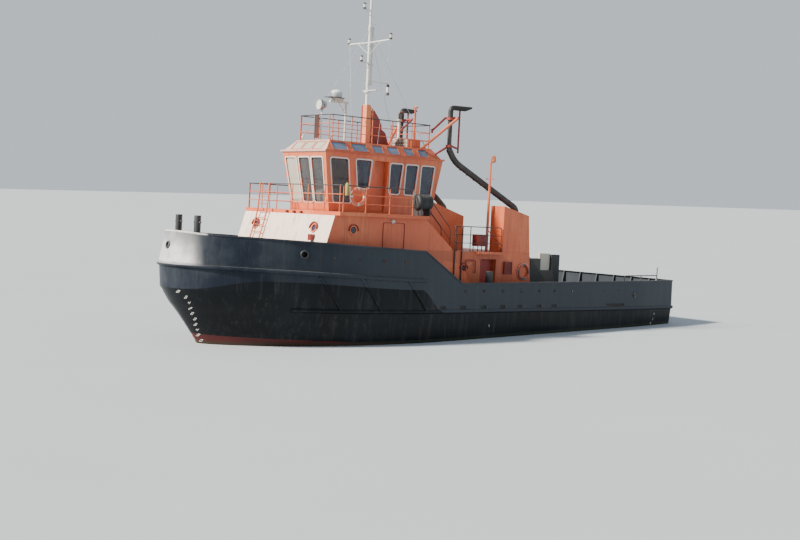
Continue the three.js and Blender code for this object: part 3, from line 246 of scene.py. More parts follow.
def grown(corners, amount):
    """A flat outline moved outwards: each corner goes along the sum of its two edges' outward normals."""
    p = np.array(corners, float)
    edge = np.roll(p, -1, 0) - p
    edge = edge / np.linalg.norm(edge, axis=1, keepdims=True)
    normal = np.stack((edge[:, 1], -edge[:, 0]), 1)
    before = np.roll(normal, 1, 0)
    area = (p[:, 0] * np.roll(p[:, 1], -1) - p[:, 1] * np.roll(p[:, 0], -1)).sum()
    return p + math.copysign(amount, area) * (normal + before) / (1 + (normal * before).sum(1, keepdims=True))


def slab(outline, plane, low, high):
    """A flat outline given depth: plane is (origin, first, second, outward) vectors of its own axes."""
    origin, first, second, outward = (np.array(v, float) for v in plane)
    p = np.array(outline, float)
    flat = origin + p[:, :1] * first + p[:, 1:] * second
    points = np.stack((flat + low * outward, flat + high * outward))
    return grid(points, around=True, ends=(True, True))


def collar(inner, outer, plane, low, high):
    """A flat ring between two outlines of as many points, given depth along the plane's outward axis."""
    origin, first, second, outward = (np.array(v, float) for v in plane)
    loops = [(inner, low), (outer, low), (outer, high), (inner, high)]
    points = [origin + p[:, :1] * first + p[:, 1:] * second + depth * outward for p, depth in loops]
    return grid(np.stack(points, 1), around=True, along=True)


def prism(outline, axis, low, high):
    """An outline in the two other axes, drawn out along one axis from low to high."""
    axes = [np.eye(3)[i] for i in range(3) if i != "xyz".index(axis)]
    return slab(outline, (np.zeros(3), axes[0], axes[1], np.eye(3)["xyz".index(axis)]), low, high)


def turned(profile, centre, axis=(0, 0, 1), sides=32):
    """A turned form: each (radius, distance) pair becomes a circle about the axis that far from the centre."""
    profile, axis = np.array(profile, float), np.array(axis, float)
    across, up = basis(axis[None])
    turn = np.linspace(0, 2 * np.pi, sides, endpoint=False)[None, :, None]
    ring = np.cos(turn) * across[:, None] + np.sin(turn) * up[:, None]
    points = np.array(centre, float) + profile[:, 0, None, None] * ring + profile[:, 1, None, None] * axis
    return grid(points, around=True, ends=(True, True))


def ring_tube(centre, axis, major, minor, around=48, sides=16):
    """A round ring: the small circle's centre goes round the big one, (major + minor cos b), minor sin b."""
    small = np.linspace(0, 2 * np.pi, sides, endpoint=False)
    profile = np.stack((major + minor * np.cos(small), minor * np.sin(small)), 1)
    axis = np.array(axis, float)
    across, up = basis(axis[None])
    turn = np.linspace(0, 2 * np.pi, around, endpoint=False)[None, :, None]
    ring = np.cos(turn) * across[:, None] + np.sin(turn) * up[:, None]
    points = np.array(centre, float) + profile[:, 0, None, None] * ring + profile[:, 1, None, None] * axis
    return grid(points, around=True, along=True)


def mirrored(shape, sides=(1, -1)):
    """The shape at each side of the boat: y times 1 or -1."""
    points, faces = shape
    return joined([(points * (1, s, 1), faces) for s in sides])


def mesh_of(name, shape):
    """A Blender mesh of a shape, with its doubles merged and its faces turned outwards."""
    points, faces = shape
    mesh = bpy.data.meshes.new(name)
    mesh.from_pydata(points.tolist(), [], [face for array in faces for face in array.tolist()])
    bm = bmesh.new()
    bm.from_mesh(mesh)
    bmesh.ops.remove_doubles(bm, verts=bm.verts, dist=1e-5)
    bmesh.ops.dissolve_degenerate(bm, edges=bm.edges, dist=1e-6)
    bmesh.ops.recalc_face_normals(bm, faces=bm.faces)
    bm.to_mesh(mesh)
    bm.free()
    return mesh


def cut(obj, shape, name):
    """Takes the shape out of the piece, for real holes, and keeps the result in its mesh."""
    cutter = bpy.data.objects.new(name, mesh_of(name, shape))
    bpy.context.scene.collection.objects.link(cutter)
    modifier = obj.modifiers.new("holes", "BOOLEAN")
    modifier.operation, modifier.solver, modifier.object = "DIFFERENCE", "EXACT", cutter
    evaluated = obj.evaluated_get(bpy.context.evaluated_depsgraph_get())
    mesh = bpy.data.meshes.new_from_object(evaluated)
    obj.modifiers.clear()
    old, obj.data = obj.data, mesh
    bpy.data.meshes.remove(old)
    bpy.data.objects.remove(cutter)


def soften(obj, width, segments=2, angle=35):
    """Rounded edges on the piece, where its faces meet at more than the angle."""
    modifier = obj.modifiers.new("edges", "BEVEL")
    modifier.width, modifier.segments = width, segments
    modifier.limit_method, modifier.angle_limit = "ANGLE", math.radians(angle)
    modifier.harden_normals = True


def piece(name, shapes, material, body=BODY, stands_for=(), bevel=0.0, smooth=40, holes=None):
    """Makes one piece of the boat from its shapes, in its place, riding on its body."""
    obj = bpy.data.objects.new(name, mesh_of(name, joined(shapes)))
    bpy.context.scene.collection.objects.link(obj)
    if holes is not None:
        cut(obj, joined(holes), name + "_holes")
    obj.data.materials.clear()
    obj.data.materials.append(material)
    if smooth:
        obj.data.shade_smooth()
        obj.data.set_sharp_from_angle(angle=math.radians(smooth))
    if bevel:
        soften(obj, bevel)
    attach(obj, body)
    if stands_for:
        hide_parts(*stands_for)
    return obj


def dress(names, material, bevel=0.006):
    """Gives CAD nodes that keep their shape their paint, with merged faces and rounded edges."""
    for name in names:
        obj = frame["nodes"][name]
        obj.data.materials.clear()
        obj.data.materials.append(material)
        obj.modifiers.new("merged", "WELD").merge_threshold = 1e-5
        flat = obj.modifiers.new("flat", "DECIMATE")
        flat.decimate_type, flat.angle_limit = "DISSOLVE", math.radians(1)
        soften(obj, bevel)


# Hull surfaces


def monotone(at, xs, ys):
    """A smooth line through rows of values that never overshoots them: cubics whose slopes at the rows are the
    weighted harmonic means of the slopes beside them."""
    span = np.diff(xs)[:, None]
    slope = np.diff(ys, axis=0) / span
    first, last = 2 * span[1:] + span[:-1], span[1:] + 2 * span[:-1]
    same = slope[1:] * slope[:-1] > 0
    safe = np.where(slope == 0, 1.0, slope)
    mean = np.where(same, (first + last) / (first / safe[:-1] + last / safe[1:]), 0)
    tangent = np.concatenate((slope[:1], mean, slope[-1:]))
    i = np.clip(np.searchsorted(xs, at, side="right") - 1, 0, len(xs) - 2)
    t = ((at - xs[i]) / span[i, 0])[:, None]
    start, end = ys[i], ys[i + 1]
    a, b = tangent[i] * span[i], tangent[i + 1] * span[i]
    return ((2 * t**3 - 3 * t**2 + 1) * start + (t**3 - 2 * t**2 + t) * a
            + (3 * t**2 - 2 * t**3) * end + (t**3 - t**2) * b)


def level(z):
    """Rows of hull sizes at any heights: a smooth line up to the main deck's edge, straight lines above it."""
    z = np.atleast_1d(np.array(z, float))
    heights, sizes = HULL_LEVELS[:, 0], HULL_LEVELS[:, 1:]
    low = heights <= MAIN_DECK
    smooth = monotone(np.minimum(z, MAIN_DECK), heights[low], sizes[low])
    straight = np.stack([np.interp(z, heights, sizes[:, k]) for k in range(6)], 1)
    return np.where((z < MAIN_DECK)[:, None], smooth, straight)


def share_at(x, row):
    """Where along a level's outline the hull is at x: 3 to 4 on the straight side, 4 to 5 round the bow."""
    stern, _, start, bow, along, _ = row.T
    quarter = stern + QUARTER
    side = 3 + (x - quarter) / (start - quarter)
    ahead = np.clip((x - start) / (bow - start), 0, 1)
    return np.where(x <= start, side, 4 + np.arcsin(ahead ** (along / 2)) / (np.pi / 2))


def outline(row, share):
    """Port half of the hull's outline at levels: (n, 6) rows of sizes and (n, m) shares give (n, m, 2) points.
    0 to 1 is the transom, to 2 its rounded corner, to 3 the chamfered quarter, to 4 the straight side, and to 5
    the bow, where x = start + (bow - start) sin(t)^(2/along) and y = half cos(t)^(2/across)."""
    stern, half, start, bow, along, across = row.T[:, :, None]
    corner, quarter = half * CORNER, stern + QUARTER
    part = np.clip(share[None] - np.arange(5)[:, None, None], 0, 1)
    turn = part[1] * np.pi / 2
    bend = part[4] * np.pi / 2
    x = np.select(
        [share <= 1, share <= 2, share <= 3, share <= 4],
        [stern + 0 * share, stern + CORNER_RADIUS * (1 - np.cos(turn)),
         stern + CORNER_RADIUS + (QUARTER - CORNER_RADIUS) * part[2], quarter + (start - quarter) * part[3]],
        start + (bow - start) * np.sin(bend) ** (2 / along),
    )
    y = np.select(
        [share <= 1, share <= 2, share <= 3, share <= 4],
        [(corner - CORNER_RADIUS) * part[0], corner - CORNER_RADIUS * (1 - np.sin(turn)),
         corner + (half - corner) * part[2], half + 0 * share],
        half * np.maximum(np.cos(bend), 0) ** (2 / across),
    )
    return np.stack((x, y), -1)


def moved_out(points, amount):
    """An outline moved outwards in plan, square to the line through each point's neighbours."""
    step = np.empty_like(points)
    step[:, 1:-1] = points[:, 2:] - points[:, :-2]
    step[:, 0], step[:, -1] = points[:, 1] - points[:, 0], points[:, -1] - points[:, -2]
    step[:, 0, 0] *= points[:, 0, 1] > 1e-6
    step[:, -1, 0] *= points[:, -1, 1] > 1e-6
    normal = np.stack((-step[..., 1], step[..., 0]), -1)
    return points + amount * normal / np.maximum(np.linalg.norm(normal, axis=-1, keepdims=True), 1e-9)


def surface(plan_z, shares, height, out=0.0):
    """Points of the port side: outlines at the plan heights, lifted to height(x, row), grown out in plan."""
    plan_z = np.atleast_1d(np.array(plan_z, float))
    flat = outline(level(plan_z), shares)
    flat = moved_out(flat, np.reshape(out, (-1, 1, 1)))
    z = height(flat[..., 0], plan_z[:, None])
    return np.concatenate((flat, z[..., None]), -1)


def both_sides(points, from_stem=False):
    """A port strip joined to its mirror image, at the stem or at the stern's middle."""
    other = points * (1, -1, 1)
    if from_stem:
        return np.concatenate((points, other[:, -2::-1]), 1)
    return np.concatenate((points[:, ::-1], other[:, 1:]), 1)


def between(low, high, count):
    """Evenly spaced shares from low to high for every row, where low or high may be one value per row."""
    t = np.linspace(0, 1, count)
    low, high = np.atleast_1d(low)[:, None], np.atleast_1d(high)[:, None]
    return low + (high - low) * t


def stretches(*counts):
    """Shares from the transom's middle on: each stretch of the outline in so many steps, its end left off."""
    return np.concatenate([np.linspace(k, k + 1, count)[:-1] for k, count in enumerate(counts)])


def side_by_side(count, *parts):
    """Share columns for count rows: each part is a plain row, repeated, or has a row of its own for each."""
    return np.concatenate([np.broadcast_to(part, (count, np.shape(part)[-1])) for part in parts], 1)


def fore_deck(x):
    return np.interp(x, FORE_DECK[:, 0], FORE_DECK[:, 1])


def rail(x):
    return np.interp(x, RAIL_LINE[:, 0], RAIL_LINE[:, 1])


def side_at(x, z):
    """Half breadth of the hull at x on the plan height z, for points forward of the quarter."""
    row = level(z)
    share = share_at(np.atleast_1d(x), row)
    return outline(row, np.broadcast_to(share[:, None], (len(row), 1)))[:, 0, 1]


# Materials: node helpers


class Tree:
    """A node tree with short calls: each puts in one node and gives back its first output."""

    def __init__(self, tree):
        self.tree = tree

    def node(self, kind, inputs=(), **settings):
        made = self.tree.nodes.new(kind)
        for name, value in settings.items():
            setattr(made, name, value)
        for key, value in dict(inputs).items():
            if isinstance(value, bpy.types.NodeSocket):
                self.tree.links.new(value, made.inputs[key])
            else:
                made.inputs[key].default_value = value
        return made

    def math(self, operation, *values, clamp=False):
        return self.node("ShaderNodeMath", enumerate(values), operation=operation, use_clamp=clamp).outputs[0]

    def plus(self, *values, **settings):
        return self.math("ADD", *values, **settings)

    def minus(self, *values, **settings):
        return self.math("SUBTRACT", *values, **settings)

    def times(self, *values, **settings):
        return self.math("MULTIPLY", *values, **settings)

    def noise(self, vector, scale, detail=4.0, roughness=0.55, distortion=0.0):
        inputs = {"Vector": vector, "Scale": scale, "Detail": detail, "Roughness": roughness,
                  "Distortion": distortion}
        return self.node("ShaderNodeTexNoise", inputs).outputs["Fac"]

    def band(self, value, low, high, to_low=0.0, to_high=1.0):
        """A smooth step: value taken from low..high to to_low..to_high, held outside."""
        inputs = {"Value": value, "From Min": low, "From Max": high, "To Min": to_low, "To Max": to_high}
        return self.node("ShaderNodeMapRange", inputs, interpolation_type="SMOOTHSTEP").outputs[0]

    def mix(self, factor, first, second, blend="MIX"):
        made = self.node("ShaderNodeMix", data_type="RGBA", blend_type=blend)
        for index, value in ((0, factor), (6, first), (7, second)):
            if isinstance(value, bpy.types.NodeSocket):
                self.tree.links.new(value, made.inputs[index])
            else:
                made.inputs[index].default_value = value
        return made.outputs[2]

    def scaled(self, vector, scale):
        return self.node("ShaderNodeMapping", {"Vector": vector, "Scale": scale}).outputs[0]

    def place(self):
        return self.node("ShaderNodeTexCoord").outputs["Object"]

    def split(self, vector):
        return self.node("ShaderNodeSeparateXYZ", {"Vector": vector}).outputs

    def facing(self):
        """The surface's own direction as x, y and z."""
        return self.split(self.node("ShaderNodeNewGeometry").outputs["Normal"])


def group(name, inputs, build):
    """A node group with number inputs (name, default), and a number output for each value that build gives."""
    tree = bpy.data.node_groups.new(name, "ShaderNodeTree")
    for label, default in inputs:
        tree.interface.new_socket(label, in_out="INPUT", socket_type="NodeSocketFloat").default_value = default
    t = Tree(tree)
    values = build(t, t.node("NodeGroupInput").outputs)
    for label in values:
        tree.interface.new_socket(label, in_out="OUTPUT", socket_type="NodeSocketFloat")
    end = t.node("NodeGroupOutput")
    for label, value in values.items():
        tree.links.new(value, end.inputs[label])
    return tree


def weather_group():
    """Outdoor ageing of paint: wide pale patches, streaks that run down upright faces, freckles of rust with
    trails under them, dust on what faces up, and a height of shallow dents with fine paint texture."""

    def build(t, given):
        place = t.place()
        z = t.facing()[2]
        upright = t.band(t.math("ABSOLUTE", z), 0.35, 0.75, 1.0, 0.0)
        wide = t.noise(place, given["Patch Scale"], 5.0, 0.6)
        patches = t.band(wide, 0.42, 0.68)
        long = t.noise(t.scaled(place, (5.0, 5.0, 0.35)), 1.0, 5.0, 0.65, 0.3)
        fine = t.noise(t.scaled(place, (22.0, 22.0, 1.1)), 1.0, 3.0, 0.6)
        streaks = t.times(t.band(t.plus(long, t.times(fine, 0.35)), 0.66, 0.92), upright)
        spots = t.noise(place, 9.0, 6.0, 0.7)
        where = t.noise(place, 0.8, 2.0, 0.5)
        freckles = t.band(t.plus(spots, t.times(where, 0.5)), 0.97, 1.05)
        trail = t.noise(t.scaled(place, (14.0, 14.0, 0.6)), 1.0, 4.0, 0.7)
        trails = t.times(t.band(t.plus(trail, t.times(where, 0.4)), 0.9, 1.05), upright)
        rust = t.math("MAXIMUM", freckles, t.times(trails, 0.6))
        dust = t.times(t.band(z, 0.5, 0.95), t.band(t.noise(place, 3.0, 5.0), 0.35, 0.65))
        dents = t.noise(place, 1.3, 2.0, 0.4)
        skin = t.noise(place, 160.0, 2.0, 0.5)
        height = t.plus(t.times(dents, given["Dents"]), t.times(skin, 0.0004))
        return {"Patches": patches, "Streaks": streaks, "Rust": rust, "Dust": dust, "Height": height}

    return group("aged_surface", [("Patch Scale", 0.5), ("Dents", 0.006)], build)


def plating_group():
    """Welded plates: a thin raised bead at each plate edge along x and z, and panels
    pulled in between frames."""

    def build(t, given):
        x, _, z = t.split(t.place())
        masks, hollows = [], []
        for value, step in ((x, given["Frame Step"]), (z, given["Strake Step"])):
            at = t.math("DIVIDE", t.plus(value, 40.0), step)
            away = t.math("ABSOLUTE", t.minus(t.math("FRACT", at), 0.5))
            gap = t.times(t.minus(0.5, away), step)
            masks.append(t.band(gap, 0.0, 0.012, 1.0, 0.0))
            hollows.append(t.math("COSINE", t.times(at, 2 * math.pi * 4)))
        seams = t.math("MAXIMUM", *masks)
        panels = t.times(t.plus(*hollows), 0.5)
        height = t.plus(t.times(seams, 0.002), t.times(panels, given["Hollow"]))
        return {"Height": height}

    return group("welded_plates", [("Frame Step", 2.4), ("Strake Step", 1.3), ("Hollow", 0.0012)], build)


def edge_group():
    """Worn edges: where the mesh bulges outwards sharply, broken up by noise."""

    def build(t, given):
        point = t.node("ShaderNodeNewGeometry").outputs["Pointiness"]
        rough = t.noise(t.place(), 14.0, 5.0, 0.7)
        worn = t.plus(point, t.times(t.minus(rough, 0.5), 0.12))
        return {"Wear": t.band(worn, given["Start"], t.plus(given["Start"], 0.08))}

    return group("edge_wear", [("Start", 0.56)], build)


def grit_group():
    """Non-slip deck paint: grains in the coating, worn through in walked patches."""

    def build(t, given):
        place = t.place()
        grain = t.node("ShaderNodeTexVoronoi", {"Vector": place, "Scale": given["Grain"]}).outputs["Distance"]
        wear = t.band(t.noise(place, 0.9, 6.0, 0.62), 0.5, 0.66)
        height = t.times(t.times(grain, 0.004), t.minus(1.0, wear))
        return {"Wear": wear, "Height": height}

    return group("deck_grit", [("Grain", 45.0)], build)


GROUPS = {}


def effect(t, name, **inputs):
    """One of the shared effects placed in a material, with its own values; gives its outputs."""
    makers = {"aged_surface": weather_group, "welded_plates": plating_group, "edge_wear": edge_group,
              "deck_grit": grit_group}
    if name not in GROUPS:
        GROUPS[name] = makers[name]()
    made = t.node("ShaderNodeGroup", node_tree=GROUPS[name])
    for label, value in inputs.items():
        made.inputs[label.replace("_", " ").title()].default_value = value
    return made.outputs


def finish_material(name, build, **fixed):
    """A material whose build(tree) gives sockets for the shader's inputs; fixed values go on its sockets."""
    material = bpy.data.materials.new(name)
    material.use_nodes = True
    t = Tree(material.node_tree)
    material.node_tree.nodes.clear()
    shader = t.node("ShaderNodeBsdfPrincipled", {k.replace("_", " "): v for k, v in fixed.items()})
    t.node("ShaderNodeOutputMaterial", {"Surface": shader.outputs[0]})
    values = build(t)
    height, strength = values.pop("Bump", None), values.pop("Bump Strength", 0.6)
    for label, value in values.items():
        if isinstance(value, bpy.types.NodeSocket):
            material.node_tree.links.new(value, shader.inputs[label])
        else:
            shader.inputs[label].default_value = value
    if height is not None:
        bump = t.node("ShaderNodeBump", {"Height": height, "Strength": strength, "Distance": 1.0})
        material.node_tree.links.new(bump.outputs[0], shader.inputs["Normal"])
    return material


def tone(colour, factor):
    return tuple(c * factor for c in colour[:3]) + (1.0,)


RUST = (0.16, 0.05, 0.02, 1.0)
SALT = (0.42, 0.4, 0.36, 1.0)
SOOT = (0.012, 0.011, 0.01, 1.0)


def aged_paint(name, colour, chalk, rust=0.5, dirt=0.5, roughness=0.42, plates=None, bare=None, second=None,
               **fixed):
    """Painted metal outdoors: its colour turns chalky in patches, darkens in streaks, rusts at spots and edges.
    second is (another colour, where): where(t) gives the mask of that colour."""

    def build(t):
        age = effect(t, "aged_surface")
        wear = effect(t, "edge_wear")["Wear"]
        faded = t.mix(t.times(age["Patches"], 0.55), colour, chalk)
        if second:
            other, where = second
            faded = t.mix(where(t), faded, other)
        dirty = t.mix(t.times(age["Streaks"], dirt), faded, tone(colour, 0.45))
        dusty = t.mix(t.times(age["Dust"], 0.35 * dirt), dirty, SALT)
        edges = t.mix(t.times(wear, 0.5), dusty, bare or tone(colour, 0.5))
        rusty = t.mix(t.times(age["Rust"], rust), edges, RUST)
        height = age["Height"]
        if plates:
            height = t.plus(height, effect(t, "welded_plates", **plates)["Height"])
        rough = t.plus(t.times(age["Patches"], 0.15), t.plus(t.times(age["Rust"], 0.3), roughness), clamp=True)
        return {"Base Color": rusty, "Roughness": rough, "Bump": height}

    return finish_material(name, build, **fixed)


def hull_paint(sizes):
    """Black topsides that grey upwards: near-black below a line along the knuckle and the low fender,
    which is painted shade for plating that faces down to dark water, and blue-black above it that greys aft,
    a painted sky reflection over chalked paint, with a pale painted glare strip by the stem. Then dull red
    below a line that rises to the bow, a stained band at the water, plates and dents, rust under the fittings,
    and gritty grey paint on what faces up above the deck edge."""

    def build(t):
        place = t.place()
        x, _, z = t.split(place)
        up = t.facing()[2]
        age = effect(t, "aged_surface", patch_scale=0.35, dents=0.012)
        wear = effect(t, "edge_wear")["Wear"]
        plates = effect(t, "welded_plates", frame_step=2.4, strake_step=1.35, hollow=0.0025)
        grit = effect(t, "deck_grit")
        ragged = t.times(t.minus(t.noise(place, 2.0, 5.0), 0.5), 0.06)
        # The line between the near-black and the blue-black paint: along the knuckle at the bow, down to the
        # low fender aft. The near-black below it is painted shade for plating that faces down to dark water.
        shade_line_bow = t.plus(t.band(x, 13.2, 10.6, 1.95, 2.38), t.band(x, 10.0, 3.9, 0.0, -0.22))
        aft = t.band(x, 3.9, 2.6)
        line = t.plus(t.times(aft, 1.2), t.times(t.minus(1.0, aft), shade_line_bow))
        upper = t.band(t.minus(z, line), -0.015, 0.015)
        # Blue-black that turns grey aft: chalked paint, and also a painted reflection of the sky on the glossy
        # topsides.
        topsides = t.mix(t.band(x, 11.0, 5.0), sizes.hull_blue, tone(sizes.hull_grey, 0.85))
        # A pale grey strip on the plating by the stem, fading upwards: a painted highlight for the sun's glare
        # there.
        stem_glare = t.times(t.band(t.plus(x, ragged), 12.5, 12.95), t.band(z, 2.85, 2.98))
        topsides = t.mix(t.times(stem_glare, t.band(z, 4.2, 3.4, 0.45, 1.0)), topsides, (0.72, 0.73, 0.76, 1.0))
        paint = t.mix(upper, sizes.hull_black, topsides)
        # Chalk patches, stronger above the line, where they are also a painted sheen.
        black = t.mix(t.times(t.times(age["Patches"], 0.5), t.plus(upper, 0.3)), paint, sizes.hull_grey)
        black = t.mix(t.times(age["Streaks"], 0.35), black, (0.06, 0.062, 0.06, 1.0))
        scuffs = t.band(t.noise(t.scaled(place, (0.35, 1.0, 5.0)), 3.0, 6.0, 0.7), 0.6, 0.72)
        low_side = t.band(z, 0.6, 1.6, 1.0, 0.0)
        black = t.mix(t.times(t.times(scuffs, low_side), 0.4), black, (0.075, 0.07, 0.062, 1.0))
        red_edge = t.plus(t.times(t.minus(x, 3.8), 0.0228), -0.06)
        above_red = t.plus(t.minus(z, red_edge), ragged)
        red = t.mix(t.times(age["Patches"], 0.7), sizes.antifouling, tone(sizes.antifouling, 0.55))
        side = t.mix(t.band(above_red, -0.012, 0.012), red, black)
        wet = t.plus(z, t.times(t.minus(x, TRIM_X), TRIM))
        slime = t.band(t.math("ABSOLUTE", t.minus(wet, t.plus(0.07, ragged))), 0.02, 0.1, 1.0, 0.0)
        side = t.mix(t.times(slime, 0.65), side, (0.035, 0.042, 0.025, 1.0))
        side = t.mix(t.times(age["Rust"], 0.55), side, tone(RUST, 0.8))
        side = t.mix(t.times(wear, 0.25), side, (0.09, 0.09, 0.09, 1.0))
        deck = t.mix(t.times(grit["Wear"], 0.6), sizes.deck_grey, (0.05, 0.05, 0.048, 1.0))
        deck = t.mix(t.times(age["Rust"], 0.6), deck, RUST)
        is_deck = t.times(t.band(up, 0.9, 0.97), t.band(z, 1.25, 1.34))
        colour = t.mix(is_deck, side, deck)
        height = t.plus(t.plus(age["Height"], plates["Height"]), t.times(grit["Height"], is_deck))
        rough = t.plus(t.times(is_deck, 0.35),
                       t.plus(t.times(age["Patches"], 0.14), sizes.hull_roughness), clamp=True)
        return {"Base Color": colour, "Roughness": rough, "Bump": height, "Bump Strength": 0.5}

    return finish_material("hull_black", build, Specular_IOR_Level=0.18)


def pale_bow_cap(t):
    """Where the cap rail is pale: the last metre or so before the stem."""
    place = t.place()
    ragged = t.times(t.minus(t.noise(place, 4.0, 5.0), 0.5), 1.2)
    return t.band(t.plus(t.split(place)[0], ragged), 12.2, 12.8)


def painted_glare_ahead(t):
    """Painted highlight: pale cream on the faces that look ahead, for the sun's glare on the forward house's
    raked front and on the roof's front slope.
    """
    x, _, z = t.split(t.place())
    heights = t.math("MAXIMUM", t.band(z, 5.03, 5.05, 1.0, 0.0), t.band(z, 7.62, 7.66))
    ahead = t.times(t.band(t.facing()[0], 0.6, 0.7), t.band(x, 6.2, 6.4))
    return t.times(ahead, heights)


def tower_trim(t):
    """Where the mast tower is dark red: its starboard strip, and the fin behind it."""
    x, y, _ = t.split(t.place())
    strip = t.band(y, -0.036, -0.033, 1.0, 0.0)
    fin = t.times(t.band(x, 3.735, 3.738, 1.0, 0.0), t.band(y, 0.04, 0.045, 1.0, 0.0))
    return t.math("MAXIMUM", strip, fin)


def exhaust_skin():
    """Heat-dulled lagged pipe: brown-black soot, thicker towards the mouth, with lapped sheets along it."""

    def build(t):
        place = t.place()
        age = effect(t, "aged_surface", patch_scale=2.5)
        z = t.split(place)[2]
        base = t.mix(age["Patches"], (0.03, 0.028, 0.028, 1.0), (0.075, 0.068, 0.064, 1.0))
        base = t.mix(t.times(age["Rust"], 0.8), base, (0.1, 0.045, 0.025, 1.0))
        sooty = t.band(t.plus(z, t.noise(place, 3.0)), 9.2, 10.6)
        base = t.mix(sooty, base, SOOT)
        return {"Base Color": base, "Roughness": t.plus(t.times(age["Patches"], 0.2), 0.5),
                "Bump": age["Height"]}

    return finish_material("exhaust_soot", build)


def bright_metal(name, colour, dull, roughness=0.35, metallic=1.0):
    """Bare or plated metal: a colour with dull stains, scratches and spots."""

    def build(t):
        place = t.place()
        age = effect(t, "aged_surface", patch_scale=3.0)
        scratches = t.noise(t.scaled(place, (40.0, 3.0, 40.0)), 1.0, 4.0, 0.7)
        base = t.mix(age["Patches"], colour, dull)
        base = t.mix(t.times(age["Rust"], 0.7), base, RUST)
        rough = t.plus(t.times(scratches, 0.25), roughness - 0.1, clamp=True)
        return {"Base Color": base, "Roughness": rough, "Bump": age["Height"],
                "Metallic": t.minus(metallic, t.times(age["Rust"], 0.7), clamp=True)}

    return finish_material(name, build)


def window_glass(name, colour, alpha, roughness=0.04):
    """Tinted glazing with salt haze towards its edges and a faint smear."""

    def build(t):
        place = t.place()
        haze = t.band(t.noise(t.scaled(place, (1.0, 1.0, 0.4)), 1.1, 3.0, 0.5), 0.4, 0.75)
        salt = t.band(t.noise(place, 60.0, 2.0), 0.62, 0.75)
        base = t.mix(t.times(haze, 0.25), colour, tone(colour, 1.6))
        veil = t.plus(t.times(haze, 0.05), t.times(salt, 0.04))
        return {"Base Color": base, "Alpha": t.plus(veil, alpha, clamp=True),
                "Roughness": t.plus(t.times(haze, 0.05), roughness)}

    return finish_material(name, build, IOR=1.5, Specular_IOR_Level=0.6)


def moulded(name, colour, stain, roughness=0.45, **fixed):
    """Plastic, rubber or coated cloth: its colour with stains, fine grain and dust."""

    def build(t):
        place = t.place()
        age = effect(t, "aged_surface", patch_scale=3.0, dents=0.002)
        base = t.mix(t.times(age["Patches"], 0.6), colour, stain)
        base = t.mix(t.times(age["Dust"], 0.3), base, SALT)
        grain = t.times(t.noise(place, 300.0, 2.0), 0.0006)
        return {"Base Color": base, "Roughness": t.plus(t.times(age["Patches"], 0.15), roughness),
                "Bump": t.plus(age["Height"], grain)}

    return finish_material(name, build, **fixed)


def buoy_bands(colour, band_colour, centre, bands=4, part=0.4):
    """A lifebuoy: bands of another colour round its ring, by the angle about its centre in x and height."""

    def build(t):
        x, _, z = t.split(t.place())
        angle = t.math("ARCTAN2", t.minus(z, centre[2]), t.minus(x, centre[0]))
        turn = t.math("FRACT", t.plus(t.times(angle, bands / (2 * math.pi)), 0.5 + bands))
        away = t.math("ABSOLUTE", t.minus(turn, 0.5))
        banded = t.mix(t.band(away, part / 2 - 0.01, part / 2 + 0.01, 1.0, 0.0), colour, band_colour)
        age = effect(t, "aged_surface", patch_scale=4.0, dents=0.001)
        aged = t.mix(t.times(age["Patches"], 0.4), banded, tone(SALT, 0.8))
        return {"Base Color": aged, "Roughness": t.plus(t.times(age["Patches"], 0.2), 0.4),
                "Bump": age["Height"]}

    return finish_material("buoy_bands", build)


# Sizes and colours that can be changed in the sidebar


def colour_setting(name, description, default):
    return bpy.props.FloatVectorProperty(name=name, description=description, subtype="COLOR", size=4,
                                         min=0, max=1, default=tuple(default) + (1.0,))


def length_setting(name, description, default):
    return bpy.props.FloatProperty(name=name, description=description, default=default, min=0, unit="LENGTH")


class TugColours(bpy.types.PropertyGroup):
    """Paint and material colours of the boat."""

    # The lower topsides' near-black is painted shade; the grey serves for chalked paint and, aft, for a painted
    # sky reflection.
    hull_black: colour_setting("Hull black", "Paint of the lower topsides", (0.003, 0.0042, 0.0065))
    hull_blue: colour_setting("Hull blue-black", "Paint of the upper topsides", (0.008, 0.012, 0.022))
    hull_grey: colour_setting("Hull grey", "Topsides paint where it has gone chalky", (0.04, 0.049, 0.062))
    hull_roughness: bpy.props.FloatProperty(name="Hull roughness",
                                            description="Gloss of the topsides, low is glossy",
                                            default=0.33, min=0, max=1)
    antifouling: colour_setting("Antifouling", "Bottom paint", (0.085, 0.02, 0.02))
    deck_grey: colour_setting("Deck grey", "Non-slip deck paint", (0.11, 0.12, 0.125))
    orange: colour_setting("Orange", "House paint", (0.58, 0.118, 0.045))
    chalk_orange: colour_setting("Faded orange", "House paint where it has faded", (0.72, 0.24, 0.11))
    red: colour_setting("Dark red", "Fittings in dark red", (0.24, 0.028, 0.022))
    white: colour_setting("White", "Mast, console and frames", (0.72, 0.72, 0.68))
    frame_grey: colour_setting("Window frame", "Pale frames of the windows", (0.8, 0.79, 0.77))
    glass: colour_setting("Glass", "Tint of the windows", (0.035, 0.05, 0.085))


class TugSizes(bpy.types.PropertyGroup):
    """Sizes of the fittings that are added to the frame."""

    rail: length_setting("Rail radius", "Radius of rails and posts", 0.021)
    thin_rail: length_setting("Thin rail radius", "Radius of lower rails and rungs", 0.015)
    frame_width: length_setting("Window frame width", "Width of the frames round the windows", 0.062)
    plate_edge: length_setting("Plate edge", "Rounding of plate edges", 0.008)
    stay_step: length_setting("Bulwark stay spacing", "Distance between the bulwark's brackets", 1.17)


PAINT = {}
BUOYS = {"bridge_buoy": (6.72, 3.468, 5.84), "house_buoy": (-3.12, 3.302, 2.89)}  # their middles


